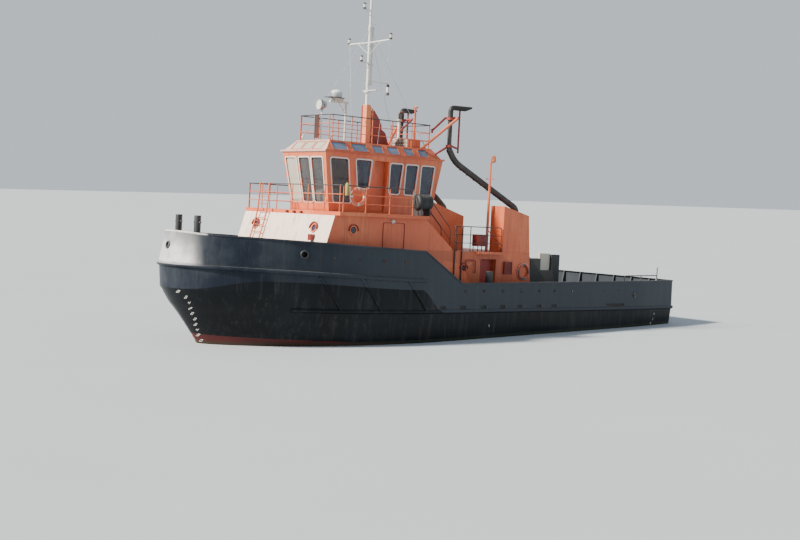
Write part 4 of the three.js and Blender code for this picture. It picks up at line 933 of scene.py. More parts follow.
def make_paints(colours):
    """Every material of the boat, by name."""
    orange, chalk, red, white = colours.orange[:], colours.chalk_orange[:], colours.red[:], colours.white[:]
    plates = {"frame_step": 1.45, "strake_step": 1.2, "hollow": 0.0016}
    PAINT["hull"] = hull_paint(colours)
    # The orange's second colour is painted glare: pale cream on the faces that look ahead.
    PAINT["orange"] = aged_paint("orange_plate", orange, chalk, rust=0.55, dirt=0.5, roughness=0.4,
                                 plates=plates, second=((0.8, 0.66, 0.58, 1.0), painted_glare_ahead))
    PAINT["orange_rail"] = aged_paint("orange_rail", orange, chalk, rust=0.5, dirt=0.3, roughness=0.42)
    PAINT["cap"] = aged_paint("cap_rail", colours.hull_blue[:], colours.hull_grey[:], rust=0.5, dirt=0.3,
                              bare=(0.3, 0.3, 0.3, 1.0), second=((0.55, 0.55, 0.54, 1.0), pale_bow_cap))
    PAINT["tower"] = aged_paint("tower_paint", chalk, tone(chalk, 0.8), rust=0.5, dirt=0.4,
                                second=(red, tower_trim))
    PAINT["red"] = aged_paint("dark_red", red, tone(red, 1.6), rust=0.4, dirt=0.5, roughness=0.45)
    PAINT["white"] = aged_paint("white_enamel", white, tone(white, 0.8), rust=0.5, dirt=0.45, roughness=0.38)
    PAINT["frames"] = aged_paint("window_frame", colours.frame_grey[:], tone(colours.frame_grey, 0.75),
                                 rust=0.35, dirt=0.4, roughness=0.4)
    PAINT["dark"] = aged_paint("dark_steel", (0.022, 0.025, 0.029, 1.0), (0.055, 0.057, 0.06, 1.0), rust=0.8,
                               dirt=0.5, roughness=0.5, bare=(0.12, 0.11, 0.1, 1.0))
    PAINT["brown_rail"] = aged_paint("brown_rail", (0.06, 0.022, 0.018, 1.0), (0.11, 0.04, 0.03, 1.0), rust=0.6,
                                     dirt=0.4, roughness=0.45)
    PAINT["cream"] = aged_paint("cream_panel", (0.62, 0.58, 0.5, 1.0), (0.52, 0.49, 0.42, 1.0),
                                rust=0.6, dirt=0.4, roughness=0.45)
    PAINT["antifouling"] = aged_paint("antifouling", colours.antifouling[:], tone(colours.antifouling, 0.5),
                                      rust=0.6, dirt=0.7, roughness=0.75)
    PAINT["exhaust"] = exhaust_skin()
    PAINT["bronze"] = bright_metal("bronze", (0.4, 0.24, 0.09, 1.0), (0.14, 0.13, 0.07, 1.0))
    PAINT["galvanised"] = bright_metal("galvanised", (0.5, 0.52, 0.54, 1.0), (0.3, 0.31, 0.32, 1.0), 0.45, 0.8)
    PAINT["glass"] = window_glass("window_glass", colours.glass[:], 0.62)
    PAINT["clear"] = window_glass("front_glass", (0.07, 0.075, 0.08, 1.0), 0.5)
    # Pale, nearly opaque glass: a painted glare of the sun on the roof's front skylights; it also fills one
    # front window.
    PAINT["pale_glare"] = window_glass("pale_glare_glass", (0.46, 0.45, 0.38, 1.0), 0.86, 0.12)
    PAINT["sky_glass"] = window_glass("skylight_glass", (0.12, 0.16, 0.25, 1.0), 0.92, 0.12)
    PAINT["rubber"] = moulded("black_rubber", (0.012, 0.012, 0.013, 1.0), (0.035, 0.034, 0.033, 1.0), 0.7)
    PAINT["cover"] = moulded("raft_cover", (0.012, 0.013, 0.016, 1.0), (0.03, 0.03, 0.034, 1.0), 0.6)
    PAINT["radar"] = moulded("radar_moulding", (0.55, 0.62, 0.66, 1.0), (0.42, 0.48, 0.5, 1.0), 0.5)
    PAINT["vinyl"] = moulded("seat_vinyl", (0.02, 0.02, 0.022, 1.0), (0.04, 0.04, 0.042, 1.0), 0.45)
    PAINT["lens"] = moulded("lamp_lens", (0.6, 0.62, 0.6, 1.0), (0.5, 0.5, 0.45, 1.0), 0.15, Coat_Weight=0.6)
    PAINT["lime"] = moulded("lime_float", (0.27, 0.28, 0.06, 1.0), (0.22, 0.23, 0.08, 1.0), 0.5)
    PAINT["wire"] = bright_metal("tow_wire", (0.2, 0.19, 0.17, 1.0), (0.09, 0.08, 0.07, 1.0), 0.55, 0.9)
    band = (0.6, 0.09, 0.03, 1.0)
    pale = (0.62, 0.58, 0.52, 1.0)
    PAINT["bridge_buoy"] = buoy_bands(band, pale, BUOYS["bridge_buoy"], part=0.14)
    PAINT["house_buoy"] = buoy_bands((0.42, 0.05, 0.025, 1.0), (0.14, 0.05, 0.035, 1.0), BUOYS["house_buoy"])


# Hull, bulwarks and fenders


def shell_height(x, plan_z):
    """Height of a hull row: its own height up to the knuckle, then in proportion up to the forecastle deck."""
    part = (plan_z - KNUCKLE) / (FORE_EDGE - KNUCKLE)
    return np.where(plan_z > KNUCKLE, KNUCKLE + part * (fore_deck(x) - KNUCKLE), plan_z)


def hull_shell():
    """The hull as one skin: rows of the outline from the flat bottom to the main deck, its forecastle rows, the
    decks drawn across from side to side, and the bulkhead at the break of the forecastle."""
    heights = np.concatenate((np.linspace(-2.6, -0.5, 16), np.linspace(-0.4, MAIN_DECK, 18)))
    rows = level(heights)
    bow = share_at(BREAK_X, rows)
    fixed = stretches(7, 7, 6, 16)
    shares = side_by_side(len(rows), fixed, between(4, bow, 5)[:, :-1], between(bow, 5, 61))
    low = surface(heights, shares, shell_height)
    whole = np.concatenate((low, (low * (1, -1, 1))[:, -2:0:-1]), 1)
    plans = np.concatenate((np.linspace(MAIN_DECK, KNUCKLE, 6), np.linspace(KNUCKLE, FORE_EDGE, 7)[1:]))
    top = surface(plans, between(share_at(BREAK_X, level(plans)), 5, 61), shell_height)
    break_at = len(fixed) + 4
    deck = np.stack((low[-1, :break_at + 1], low[-1, :break_at + 1] * (1, -1, 1)))
    fore = np.stack((top[-1], top[-1] * (1, -1, 1)))
    bulkhead = np.stack((top[:, 0], top[:, 0] * (1, -1, 1)))
    return joined([grid(whole, around=True, ends=(True, False)), grid(both_sides(top, from_stem=True)),
                   grid(deck), grid(fore), grid(bulkhead)])


SHAFT = {"y": 1.9, "z": -1.85}  # each propeller shaft's place
RUDDER_X = -10.9  # x of the rudder stocks


def stern_gear():
    """Shaft tubes, their struts, rudder trunks and the centre skeg, as the frame has them."""
    made = []
    for y in (-SHAFT["y"], SHAFT["y"]):
        made.append(turned([(0, 0), (0.09, 0), (0.09, 2.72), (0.12, 2.74), (0.12, 2.98), (0.09, 3.0), (0, 3.0)],
                           (-6.5, y, SHAFT["z"]), (-1, 0, 0), 28))
        for lean in (-1, 1):
            path = np.linspace((-9.3, y, SHAFT["z"]), (-9.0, y + lean * 0.45, -0.8), 4)
            turn = np.linspace(0, 2 * np.pi, 20, endpoint=False)
            foil = np.stack((0.025 * np.sin(turn), 0.09 * np.cos(turn)), 1)
            made.append(sweep(path, foil, guide=(1, 0, 0)))
        made.append(turned([(0, 0), (0.16, 0), (0.16, 0.05), (0.13, 0.06), (0.13, 0.43), (0, 0.43)],
                           (RUDDER_X, y, -0.5), (0, 0, -1), 28))
    skeg = [(-4.0, -2.6), (-9.7, -1.05), (-9.7, -1.5), (-6.5, -2.6)]
    made.append(prism(skeg, "y", -0.11, 0.11))
    return made


def hatch_parts():
    """Coaming round the hatch well, and the two hinge ears at its fore edge with their pins."""
    coaming = [(-10.9, -0.5, 1.34), (-9.9, 0.5, 1.65)]
    (x0, y0, z0), (x1, y1, z1) = coaming
    wall = 0.04
    corners = [(x0, y0), (x1, y0), (x1, y1), (x0, y1)]
    plane = ((0, 0, 0), (1, 0, 0), (0, 1, 0), (0, 0, 1))
    outer = rounded(corners, 0.06, 6)
    inner = rounded(grown(corners, -wall), 0.03, 6)
    ears = [blocks(((-9.855, y - 0.03, 1.33), (-9.815, y + 0.03, 1.695))) for y in (-0.385, 0.385)]
    pins = rods([(-9.84, -0.415, 1.695), (-9.84, 0.355, 1.695)],
                [(-9.84, -0.355, 1.695), (-9.84, 0.415, 1.695)], 0.02, 20)
    return [collar(inner, outer, plane, z0, z1)] + ears + [pins]


def bulwark_rows(ahead, out=0.0):
    """Foot and top lines of the bulwark in plan and height, from one end of the strip to the other."""
    plans = np.array([FORE_EDGE if ahead else MAIN_DECK, 4.2])
    at_break = share_at(BREAK_X, level(plans))
    if ahead:
        shares = between(at_break, 5, 90)
    else:
        shares = side_by_side(2, stretches(8, 8, 8), np.linspace(3, 4, 60), between(4, at_break, 5)[:, 1:])
    points = surface(plans, shares, lambda x, p: 0 * x + p, out)
    points[0, :, 2] = fore_deck(points[0, :, 0]) if ahead else MAIN_DECK
    points[1, :, 2] = rail(points[1, :, 0])
    return both_sides(points, from_stem=ahead)


def bulwark(ahead):
    """The bulwark's plate: straight lines from its foot to its top, with an inner skin
    a plate's thickness in."""
    outer, inner = bulwark_rows(ahead), bulwark_rows(ahead, -PLATE)
    t = np.linspace(0, 1, 9)[:, None, None]
    rows = np.concatenate(((1 - t) * outer[0] + t * outer[1], t * inner[0] + (1 - t) * inner[1]))
    return grid(rows.transpose(1, 0, 2), around=True, ends=(True, True))


def cap_rail(ahead):
    """Flat rail along the bulwark's top: a rectangle carried along it, from outside the plate to inside it."""
    lines = []
    for out, drop in ((CAP["out"], CAP["high"]), (CAP["out"], 0), (-CAP["inside"], 0), (-CAP["inside"], 0.02),
                      (0.0, 0.022), (0.0, CAP["high"])):
        line = bulwark_rows(ahead, out)[1].copy()
        line[:, 2] -= drop
        lines.append(line)
    return grid(np.stack(lines, 1), around=True, ends=(True, True))


def bulwark_stays(ahead, step):
    """Brackets inside the bulwark at even steps: each runs from deck to cap, wide at its foot, with a flange on
    its free edge."""
    foot, top = bulwark_rows(ahead, -PLATE)
    run = np.concatenate(([0], np.cumsum(np.linalg.norm(np.diff(foot[:, :2], axis=0), axis=1))))
    at = np.arange(step * 0.6, run[-1] - 0.3, step)
    base = np.stack([np.interp(at, run, foot[:, k]) for k in range(3)], 1)
    head = np.stack([np.interp(at, run, top[:, k]) for k in range(3)], 1)
    ahead_of = np.stack([np.interp(at + 0.05, run, foot[:, k]) - np.interp(at - 0.05, run, foot[:, k])
                         for k in range(2)], 1)
    inward = np.stack((ahead_of[:, 1], -ahead_of[:, 0], 0 * at), 1)
    inward = inward / np.linalg.norm(inward, axis=1, keepdims=True)
    inward = inward * np.where((inward[:, :2] * base[:, :2]).sum(1) > 0, -1, 1)[:, None]
    head = head - (0, 0, 0.025)
    low, high = base + inward * 0.34, head + inward * 0.085
    webs = np.stack((base, low, high, head), 1)
    along = np.cross(inward, (0, 0, 1.0)) * 0.035
    flanges = np.stack((low - along, low + along, high + along, high - along), 1)
    return [plates(webs, 0.01), plates(flanges, 0.01)]


SMALL_HOLES_AFT = (1.43, 0.34, -0.8, -1.95, -3.1, -4.08, -5.29, -7.53, -8.65)  # x of the mooring eyes aft
SMALL_HOLES_FORE = ((7.96, 3.37), (6.86, 3.34), (5.79, 3.31), (4.76, 3.29))  # x and z of those forward
FREEING_PORTS = (2.69, 1.56, 0.35, -0.8, -1.87, -3.08, -4.08)  # x of the small freeing ports
LONG_PORT = (-9.0, -7.7)  # ends of the long one
FAIRLEADS = ((9.14, 3.47, 0.12), (-9.75, 1.88, 0.12))  # x, z and radius of the mooring fairleads


def bulwark_openings(ahead):
    """What is taken out of the plate: fairleads, small eyes and the freeing ports along the deck."""
    x, z, radius = FAIRLEADS[0 if ahead else 1]
    made = [rods((x, -5, z), (x, 5, z), radius, 32)]
    if ahead:
        made.append(rods((12.6, 0, 3.6), (14, 0, 3.6), 0.11, 32))
        made += [rods((hx, -5, hz), (hx, 5, hz), 0.045, 20) for hx, hz in SMALL_HOLES_FORE]
    else:
        made += [rods((hx, -5, 2.1), (hx, 5, 2.1), 0.045, 20) for hx in SMALL_HOLES_AFT]
        plane = ((0, -5, 0), (1, 0, 0), (0, 0, 1), (0, 1, 0))
        spans = [(at - 0.165, at + 0.165) for at in FREEING_PORTS] + [LONG_PORT]
        for a, b in spans:
            slot = rounded([(a, 1.3), (b, 1.3), (b, 1.49), (a, 1.49)], 0.05, 5)
            made.append(slab(slot, plane, 0, 10))
    return made


def port_flaps_and_shade_discs():
    """Dark hinged flaps that hang just inside the freeing ports, and black discs set behind the fairleads and
    the forward eyes. The discs, and in part the flaps' darkness, are painted shade for what shows through those
    openings.
    """
    spans = [(at - 0.2, at + 0.2) for at in FREEING_PORTS] + [(LONG_PORT[0] - 0.05, LONG_PORT[1] + 0.05)]
    made = []
    for a, b in spans:
        y = min(side_at(a, 1.45)[0], side_at(b, 1.45)[0]) - PLATE - 0.012
        made += [blocks(((a, y - 0.008, 1.36), (b, y, 1.53))), blocks(((a, -y, 1.36), (b, 0.008 - y, 1.53)))]
    holes = list(FAIRLEADS) + [(x, z, -0.02) for x, z in SMALL_HOLES_FORE]
    for x, z, radius in holes:
        y = side_at(x, 3.4 if x > 0 else 1.9)[0] - 0.16
        # A black disc a little inside each opening: painted shade.
        shade_disc = [(0, 0), (radius + 0.1, 0), (radius + 0.1, 0.008), (0, 0.008)]
        made.append(mirrored(turned(shade_disc, (x, y, z), (0, 1, 0), 32)))
    return made


def eye_rims():
    """Round bars about the fairleads and the small eyes, on the outer face of the plate."""
    made = []
    for k, (x, z, radius) in enumerate(FAIRLEADS):
        if k == 0:
            y = side_at(x, 3.4)[0] - 0.02
            slope = (side_at(x + 0.2, 3.4)[0] - side_at(x - 0.2, 3.4)[0]) / 0.4
            axis = np.array((-slope, 1, 0)) / math.hypot(slope, 1)
        else:
            y, axis = 4.38, np.array((0, 1, 0))
        made.append(mirrored(ring_tube((x, y, z), axis, radius + 0.02, 0.035, 40, 12)))
    made.append(ring_tube((13.245, 0, 3.6), (1, 0, 0.17), 0.13, 0.035, 40, 12))
    for x, z in [(hx, 2.1) for hx in SMALL_HOLES_AFT] + list(SMALL_HOLES_FORE):
        y = side_at(x, 3.2)[0] if x > BREAK_X else 4.397
        made.append(mirrored(ring_tube((x, y + 0.002, z), (0, 1, 0), 0.05, 0.01, 20, 8)))
    return made


LOW_FENDER = {"x": 9.42, "z": 1.25}  # fore end and height of the low fender


def strake(upper):
    """Half-round fender: the outline at each height of a half circle, grown out by its depth there."""
    turn = np.concatenate(([-np.pi / 2], np.linspace(-np.pi / 2, np.pi / 2, 11), [np.pi / 2]))
    dz, out = 0.085 * np.sin(turn), 0.095 * np.cos(turn)
    out[[0, -1]] = -0.02
    middle = 2.65 if upper else LOW_FENDER["z"]
    rows = level(middle + dz)
    if upper:
        shares = between(share_at(BREAK_X, rows), 5, 80)
    else:
        shares = side_by_side(len(rows), stretches(8, 8, 6, 20),
                              between(4, share_at(LOW_FENDER["x"], rows), 30))
    points = surface(middle + dz, shares, lambda x, p: 0 * x + p, out)
    lift = (fore_deck(points[..., 0]) - 0.105) if upper else LOW_FENDER["z"]
    points[..., 2] = lift + dz[:, None]
    strip = both_sides(points, from_stem=upper)
    return grid(strip.transpose(1, 0, 2), around=True, ends=(True, True))


DIAGONALS = ((8.55, 7.49), (6.82, 5.76), (4.66, 3.56))  # x of each bar's head and foot


def diagonals():
    """Half-round bars that slope down and aft between the two fenders, following the plating under them."""
    turn = np.linspace(0, np.pi, 11)
    half = np.stack((0.06 * np.cos(turn), 0.07 * np.sin(turn)), 1)
    section = np.concatenate(([[0.06, -0.03]], half, [[-0.06, -0.03]]))
    made = []
    for top, foot in DIAGONALS:
        z = np.linspace(2.62, 1.27, 12)
        x = foot + (top - foot) * (z - 1.25) / 1.39
        plan = np.where(z > KNUCKLE, KNUCKLE + (z - KNUCKLE) * 0.75 / (fore_deck(x) - KNUCKLE), z)
        y = np.array([side_at(a, b)[0] for a, b in zip(x, plan)])
        made.append(mirrored(sweep(np.stack((x, y, z), 1), section, guide=(0, 1, 0))))
    return made


STROKES = {  # a generic numeral's strokes on a grid two wide and four high
    "0": ((0, 0, 2, 0), (2, 0, 2, 4), (2, 4, 0, 4), (0, 4, 0, 0)), "1": ((1, 0, 1, 4),),
    "2": ((0, 4, 2, 4), (2, 4, 2, 2), (2, 2, 0, 2), (0, 2, 0, 0), (0, 0, 2, 0)),
    "3": ((0, 4, 2, 4), (2, 4, 2, 0), (2, 0, 0, 0), (0, 2, 2, 2)),
    "4": ((0, 4, 0, 2), (0, 2, 2, 2), (2, 4, 2, 0)),
    "6": ((2, 4, 0, 4), (0, 4, 0, 0), (0, 0, 2, 0), (2, 0, 2, 2), (2, 2, 0, 2)),
    "8": ((0, 0, 2, 0), (2, 0, 2, 4), (2, 4, 0, 4), (0, 4, 0, 0), (0, 2, 2, 2)),
}


def hull_point(x, z):
    """A point of the port side of the hull at x and height z, below the deck edge."""
    y = np.array([side_at(a, b)[0] for a, b in zip(np.atleast_1d(x), np.atleast_1d(z))])
    return np.stack((np.atleast_1d(x), y, np.atleast_1d(z)), 1)


# Draft figures from the top down: x and height of each
BOW_MARKS = ((13.08, 1.83), (12.84, 1.62), (12.69, 1.4), (12.55, 1.17), (12.41, 0.96), (12.25, 0.74),
             (12.14, 0.51), (12.02, 0.29), (11.9, 0.07), (11.75, -0.15))
STERN_MARKS = ((-11.37, 0.94), (-11.32, 0.69), (-11.18, 0.48), (-11.2, 0.23))


def draft_marks():
    """Draft figures up the bow, amidships and up the stern: strokes of bead weld laid on the plating."""
    made = []
    rows = [(x, z, text) for (x, z), text in zip(BOW_MARKS, "8642086420")]
    rows += [(x, z, text) for (x, z), text in zip(STERN_MARKS, "4208")] + [(-0.09, 0.6, "3")]
    for x, z, text in rows:
        size = 0.022
        for stroke in STROKES[text]:
            (a, b), (c, d) = stroke[:2], stroke[2:]
            ends = hull_point([x - (a - 1) * size, x - (c - 1) * size],
                              [z + (b - 2) * size, z + (d - 2) * size])
            path = np.linspace(ends[0], ends[1], 3) + (0, 0.002, 0)
            made.append(mirrored(tube(path, 0.009, 6)))
    return made


# Railings


def railing(corners, heights, step, radius, thin, bend=0.12, foot=True):
    """Posts at even steps along a run of corners with level bars at each height; the bars turn in soft bends.
    Gives the handrail, and the rest."""
    corners = np.array(corners, float)
    hand, *made = [tube(rounded(corners + (0, 0, high), bend, 7, closed=False), radius if k == 0 else thin, 14)
                   for k, high in enumerate(heights)]
    posts = []
    for a, b in zip(corners[:-1], corners[1:]):
        count = max(1, round(float(np.linalg.norm(b - a)) / step))
        shares = np.linspace(0, 1, count + 1)
        reach = min(bend, 0.1) / max(float(np.linalg.norm(b - a)), 0.2)
        shares = np.clip(shares, reach if len(posts) else 0, 1 - reach)
        posts.append(a + (b - a) * shares[:, None])
    posts = np.concatenate(posts)
    made.append(rods(posts, posts + (0, 0, heights[0]), radius, 14))
    if foot:
        made.append(rods(posts, posts + (0, 0, 0.012), radius * 2.2, 16))
    return [hand], made


# Houses


# The wheelhouse at its walls' foot, its eaves and its roof: height, half breadth, and x of its back and front
FOOT, EAVES, ROOF = (5.2, 1.32, 0.95, 6.56), (7.66, 1.57, 0.58, 7.04), (8.17, 1.16, 0.95, 6.55)


def side_plane(low, high, side):
    """Origin, along, up and outward vectors of the leaning side between two levels, in x
    and height along it."""
    lean = (high[1] - low[1]) / (high[0] - low[0])
    origin = np.array((0, side * (low[1] - low[0] * lean), 0))
    out = np.array((0, side, -lean)) / math.hypot(1, lean)
    return origin, np.array((1.0, 0, 0)), np.array((0, side * lean, 1.0)), out


def end_plane(low, high, front=True):
    """The same for the leaning front or back, in y and height along it."""
    foot, head = (row[3 if front else 2] for row in (low, high))
    lean = (head - foot) / (high[0] - low[0])
    out = np.array((1, 0, -lean) if front else (-1, 0, lean)) / math.hypot(1, lean)
    return np.array((foot - low[0] * lean, 0, 0)), np.array((0, 1.0, 0)), np.array((lean, 0, 1.0)), out


SIDE_WINDOWS = ((5.86, 6.74, 6.37, 5.51, 7.4, 5.61), (4.59, 5.4, 5.17, 4.63, 7.41, 6.26),
                (2.87, 3.52, 3.45, 2.93, 7.35, 6.1), (2.0, 2.64, 2.59, 2.05, 7.35, 6.1),
                (1.05, 1.76, 1.71, 1.11, 7.35, 6.1))
FRONT_WINDOWS = ((-1.35, -0.6), (-0.38, 0.35), (0.52, 1.28))
BACK_WINDOWS = ((-1.15, -0.3), (0.3, 1.15))
SKYLIGHTS = ((5.8, 6.56), (4.72, 5.52), (3.88, 4.4), (2.99, 3.59), (2.15, 2.64), (1.34, 1.83))
FRONT_SKYLIGHTS = ((-1.05, -0.45), (-0.3, 0.3), (0.45, 1.05))


def window_list():
    """Every wheelhouse window as (corner points in its wall's plane, plane, kind)."""
    made = []
    for side in (1, -1):
        for k, (top_aft, top_fore, foot_fore, foot_aft, top, foot) in enumerate(SIDE_WINDOWS):
            corners = [(foot_aft, foot), (foot_fore, foot), (top_fore, top), (top_aft, top)]
            made.append((corners, side_plane(FOOT, EAVES, side), "clear" if k == 0 else "glass"))
    for k, (a, b) in enumerate(FRONT_WINDOWS):
        corners = [(a * 0.9, 5.59), (b * 0.9, 5.59), (b, 7.4), (a, 7.4)]
        made.append((corners, end_plane(FOOT, EAVES), "pale_glare" if k == 0 else "clear"))
    for a, b in BACK_WINDOWS:
        made.append(([(a, 6.3), (b, 6.3), (b, 7.35), (a, 7.35)], end_plane(FOOT, EAVES, False), "glass"))
    return made


def window_parts(width):
    """Frames, rubber seals and panes: each a rounded outline of the opening, given depth
    in its wall's plane."""
    frames, seals = [], []
    panes = {"glass": [], "clear": [], "pale_glare": []}
    for corners, plane, kind in window_list():
        opening = rounded(grown(corners, -0.012), 0.11, 8)
        outer = rounded(grown(corners, width), 0.15, 8)
        frames.append(collar(opening, outer, plane, -0.03, 0.022))
        seal = rounded(grown(corners, -0.034), 0.09, 8)
        seals.append(collar(seal, rounded(grown(corners, -0.002), 0.115, 8), plane, -0.045, -0.005))
        glass = rounded(grown(corners, -0.02), 0.1, 8)
        panes[kind].append(slab(glass, plane, -0.04, -0.03))
    return frames, seals, panes


def skylight_parts():
    """Frames and panes of the skylights in the roof's sloping edges."""
    frames, panes, pale = [], [], []
    rows = [(SKYLIGHTS, side_plane(EAVES, ROOF, 1), panes), (SKYLIGHTS, side_plane(EAVES, ROOF, -1), panes),
            (FRONT_SKYLIGHTS, end_plane(EAVES, ROOF), pale)]
    for spans, plane, made in rows:
        for a, b in spans:
            corners = [(a, 7.78), (b, 7.78), (b, 8.08), (a, 8.08)]
            frames.append(collar(rounded(grown(corners, -0.012), 0.05, 6),
                                 rounded(grown(corners, 0.03), 0.07, 6), plane, -0.02, 0.014))
            made.append(slab(rounded(grown(corners, -0.005), 0.05, 6), plane, -0.03, -0.012))
    return frames, panes, pale


def house_fittings():
    """Small fittings on the houses: boxes, plates and a brace in dark red, a door's frame, and lamps."""
    plane = ((0, HOUSE_SIDE, 0), (1, 0, 0), (0, 0, 1), (0, 1, 0))
    door = [(4.05, 3.8), (5.17, 3.8), (5.17, 4.83), (4.05, 4.83)]
    # The three small blocks under the bridge deck's front edge, in dark red, are painted shadow for the shade
    # under that edge.
    red = [blocks(*[((7.56, y - 0.05, 5.06), (7.66, y + 0.05, 5.16)) for y in (-0.19, 0.32, 0.82)],
                  ((7.9, 2.13, 4.0), (8.15, 2.33, 4.25)), ((-0.97, 2.72, 3.98), (-0.37, 3.1, 4.5)),
                  ((-2.33, 3.24, 2.77), (-1.87, 3.31, 3.32))),
           collar(rounded(grown(door, -0.022), 0.09, 6), rounded(door, 0.1, 6), plane, -0.005, 0.025),
           rods([(-0.86, 3.21, 4.68)], [(-2.15, 3.21, 3.755)], 0.02, 14)]
    red += louvres((-2.31, 3.312, 2.8), (1, 0, 0), (0, 0, 1), (0, 1, 0), 0.42, 0.5, 7)
    legs = [(x, y, HOUSE_TOP) for x in (-0.93, -0.41) for y in (2.76, 3.06)]
    red.append(rods(legs, [np.array(leg) + (0, 0, 0.24) for leg in legs], 0.02, 12))
    hose = rounded([(-0.08, 3.24, 2.84), (-0.08, 3.32, 2.84), (-0.08, 3.32, 3.36), (0.5, 3.32, 3.36),
                    (0.5, 3.32, 2.9), (0.5, 3.24, 2.9)], 0.06, 6, closed=False)
    red.append(tube(hose, 0.025, 12))
    lamps = [turned([(0, 0), (0.09, 0), (0.09, 0.03), (0.07, 0.07), (0.03, 0.1), (0, 0.105)],
                    (4.68, HOUSE_SIDE, 4.91), (0, 1, 0), 24)]
    float_box = [turned([(0, 0), (0.065, 0), (0.07, 0.02), (0.07, 0.44), (0.05, 0.48), (0.03, 0.5), (0, 0.52)],
                        (7.3, 3.475, 5.86), sides=24)]
    return red, lamps, float_box


def portholes():
    """Rims, glass and eyebrows of the round windows: turned rims on the walls, arcs
    of angle over them."""
    rims, glass, brows = [], [], []
    rake = math.atan2(8.41 - 7.67, 5.05 - 2.7)
    front = (math.cos(rake), 0, math.sin(rake))
    face_x = 8.41 - (4.5 - 2.7) * math.tan(rake)
    spots = [((6.73, s * HOUSE_SIDE, 4.49), (0, s, 0), 0.15) for s in (1, -1)]
    spots += [((face_x, s * 2.12, 4.5), front, 0.15) for s in (1, -1)]
    spots += [((0.59, s * HOUSE_SIDE, 3.02), (0, s, 0), 0.13) for s in (1, -1)]
    for k, (centre, axis, radius) in enumerate(spots):
        centre, axis = np.array(centre), np.array(axis, float)
        rims.append(turned([(radius - 0.01, -0.03), (radius - 0.01, 0.03), (radius + 0.02, 0.045),
                            (radius + 0.05, 0.04), (radius + 0.06, 0.0), (radius + 0.06, -0.02)], centre,
                           axis, 40))
        glass.append(turned([(0, -0.02), (radius, -0.02), (radius, -0.008), (0, -0.008)], centre, axis, 40))
        level_side = np.cross((0, 0, 1.0), axis)
        level_side = level_side / np.linalg.norm(level_side)
        upright = np.cross(axis, level_side)
        # The eyebrows are in dark red, and wider over the two front portholes: painted shadow, for the shade
        # under them on the house front.
        turn = np.radians(np.linspace(-8, 188, 26))[:, None]
        inner, outer = [centre + (radius + r) * (np.cos(turn) * level_side + np.sin(turn) * upright)
                        for r in (0.062, 0.11 if k in (2, 3) else 0.085)]
        rows = np.stack((inner, outer, outer + 0.09 * axis, inner + 0.09 * axis), 1)
        brows.append(grid(rows, around=True, ends=(True, True)))
    return rims, glass, brows


# Rig, roof gear and deck gear


def lantern(foot, radius=0.07, high=0.28):
    """A navigation lamp: its base, ribbed lens and cap turned about the upright through foot."""
    r = radius
    base = [(0, 0), (r, 0), (r, 0.2 * high), (0.82 * r, 0.24 * high), (0, 0.24 * high)]
    lens = [(0, 0.24 * high), (0.8 * r, 0.25 * high), (0.88 * r, 0.33 * high), (0.82 * r, 0.4 * high),
            (0.9 * r, 0.48 * high), (0.82 * r, 0.56 * high), (0.88 * r, 0.64 * high), (0.8 * r, 0.72 * high),
            (0, 0.73 * high)]
    cap = [(0, 0.73 * high), (0.82 * r, 0.73 * high), (r, 0.76 * high), (r, 0.86 * high),
           (0.5 * r, 0.96 * high), (0, high)]
    return [turned(profile, foot, sides=24) for profile in (base, lens, cap)]


MAST_X = 3.8


def mast_parts():
    """White pole mast: a lower pole, a thinner upper pole, a second tube clipped behind it, yard, shelf and
    arms, with a ring for the halyards."""
    x, tower, top = MAST_X, 9.9, 16.0
    pole = [(0, 0), (0.11, 0), (0.11, 0.02), (0.062, 0.025), (0.062, 3.36), (0.075, 3.37), (0.075, 3.42),
            (0.052, 3.46), (0.05, 3.5), (0.048, 4.8), (0.044, 5.6), (0.042, top - tower - 0.02),
            (0, top - tower)]
    made = [turned(pole, (x, 0, tower), sides=28)]
    made.append(tube([(x, y, 12.6 + 0.02 * abs(y)) for y in np.linspace(-1.45, 1.45, 9)], 0.03, 14))
    made.append(rods([(x - 0.14, 0.03, 10.8)], [(x - 0.14, 0.03, 13.3)], 0.042, 18))
    links = [((x - 0.19, -0.06, z - 0.03), (x + 0.07, 0.09, z + 0.03)) for z in (10.8, 11.65, 12.45, 13.2)]
    shelf = [((x - 0.06, -0.27, 10.51), (x + 0.04, 0.65, 10.53)),
             ((x - 0.062, -0.27, 10.5), (x - 0.05, 0.65, 10.54)),
             ((x + 0.03, -0.27, 10.5), (x + 0.042, 0.65, 10.54))]
    made.append(blocks(*links, *shelf))
    made.append(turned([(0.05, -0.035), (0.135, -0.035), (0.14, 0), (0.135, 0.035), (0.05, 0.035)],
                       (x, 0, 10.465), sides=28))
    arms = [(0.42, 11.73), (0.38, 14.0), (-1.14, 10.95)]
    made.append(rods([(x, 0, z) for _, z in arms], [(x + reach, 0, z) for reach, z in arms], 0.022, 12))
    made.append(rods([(x, 0, z - 0.28) for _, z in arms[:2]], [(x + 0.3, 0, z - 0.01) for _, z in arms[:2]],
                     0.012, 10))
    made.append(rods([(x, s * 0.05, 12.1) for s in (1, -1)], [(x, s * 0.8, 12.6) for s in (1, -1)], 0.014, 12))
    made.append(rods([(x - 0.05, 0, z) for z in (13.42, 13.72)],
                     [(x - 0.4, 0, z) for z in (13.42, 13.72)], 0.01, 8))
    return made


def stay_lines():
    """Wire stays from the mast to the roof, and halyards from the roof to the yard."""
    starts, ends, pads = [], [], []
    for s in (1, -1):
        for foot in (6.46, 1.2):
            starts.append((MAST_X, s * 0.02, 13.2))
            ends.append((foot, s * 1.06, 8.21))
            pads.append(((foot - 0.04, s * 1.06 - 0.03, ROOF[0]), (foot + 0.04, s * 1.06 + 0.03, 8.22)))
    screws = [np.array(a) + (np.array(b) - np.array(a)) * t for a, b in zip(starts, ends)
              for t in (0.94, 0.985)]
    for s in (1, -1):
        starts.append((MAST_X, s * 0.9, 8.19))
        ends.append((MAST_X, s * 1.4, 12.6))
    return [rods(starts, ends, 0.008, 8), blocks(*pads)], rods(screws[0::2], screws[1::2], 0.022, 10)


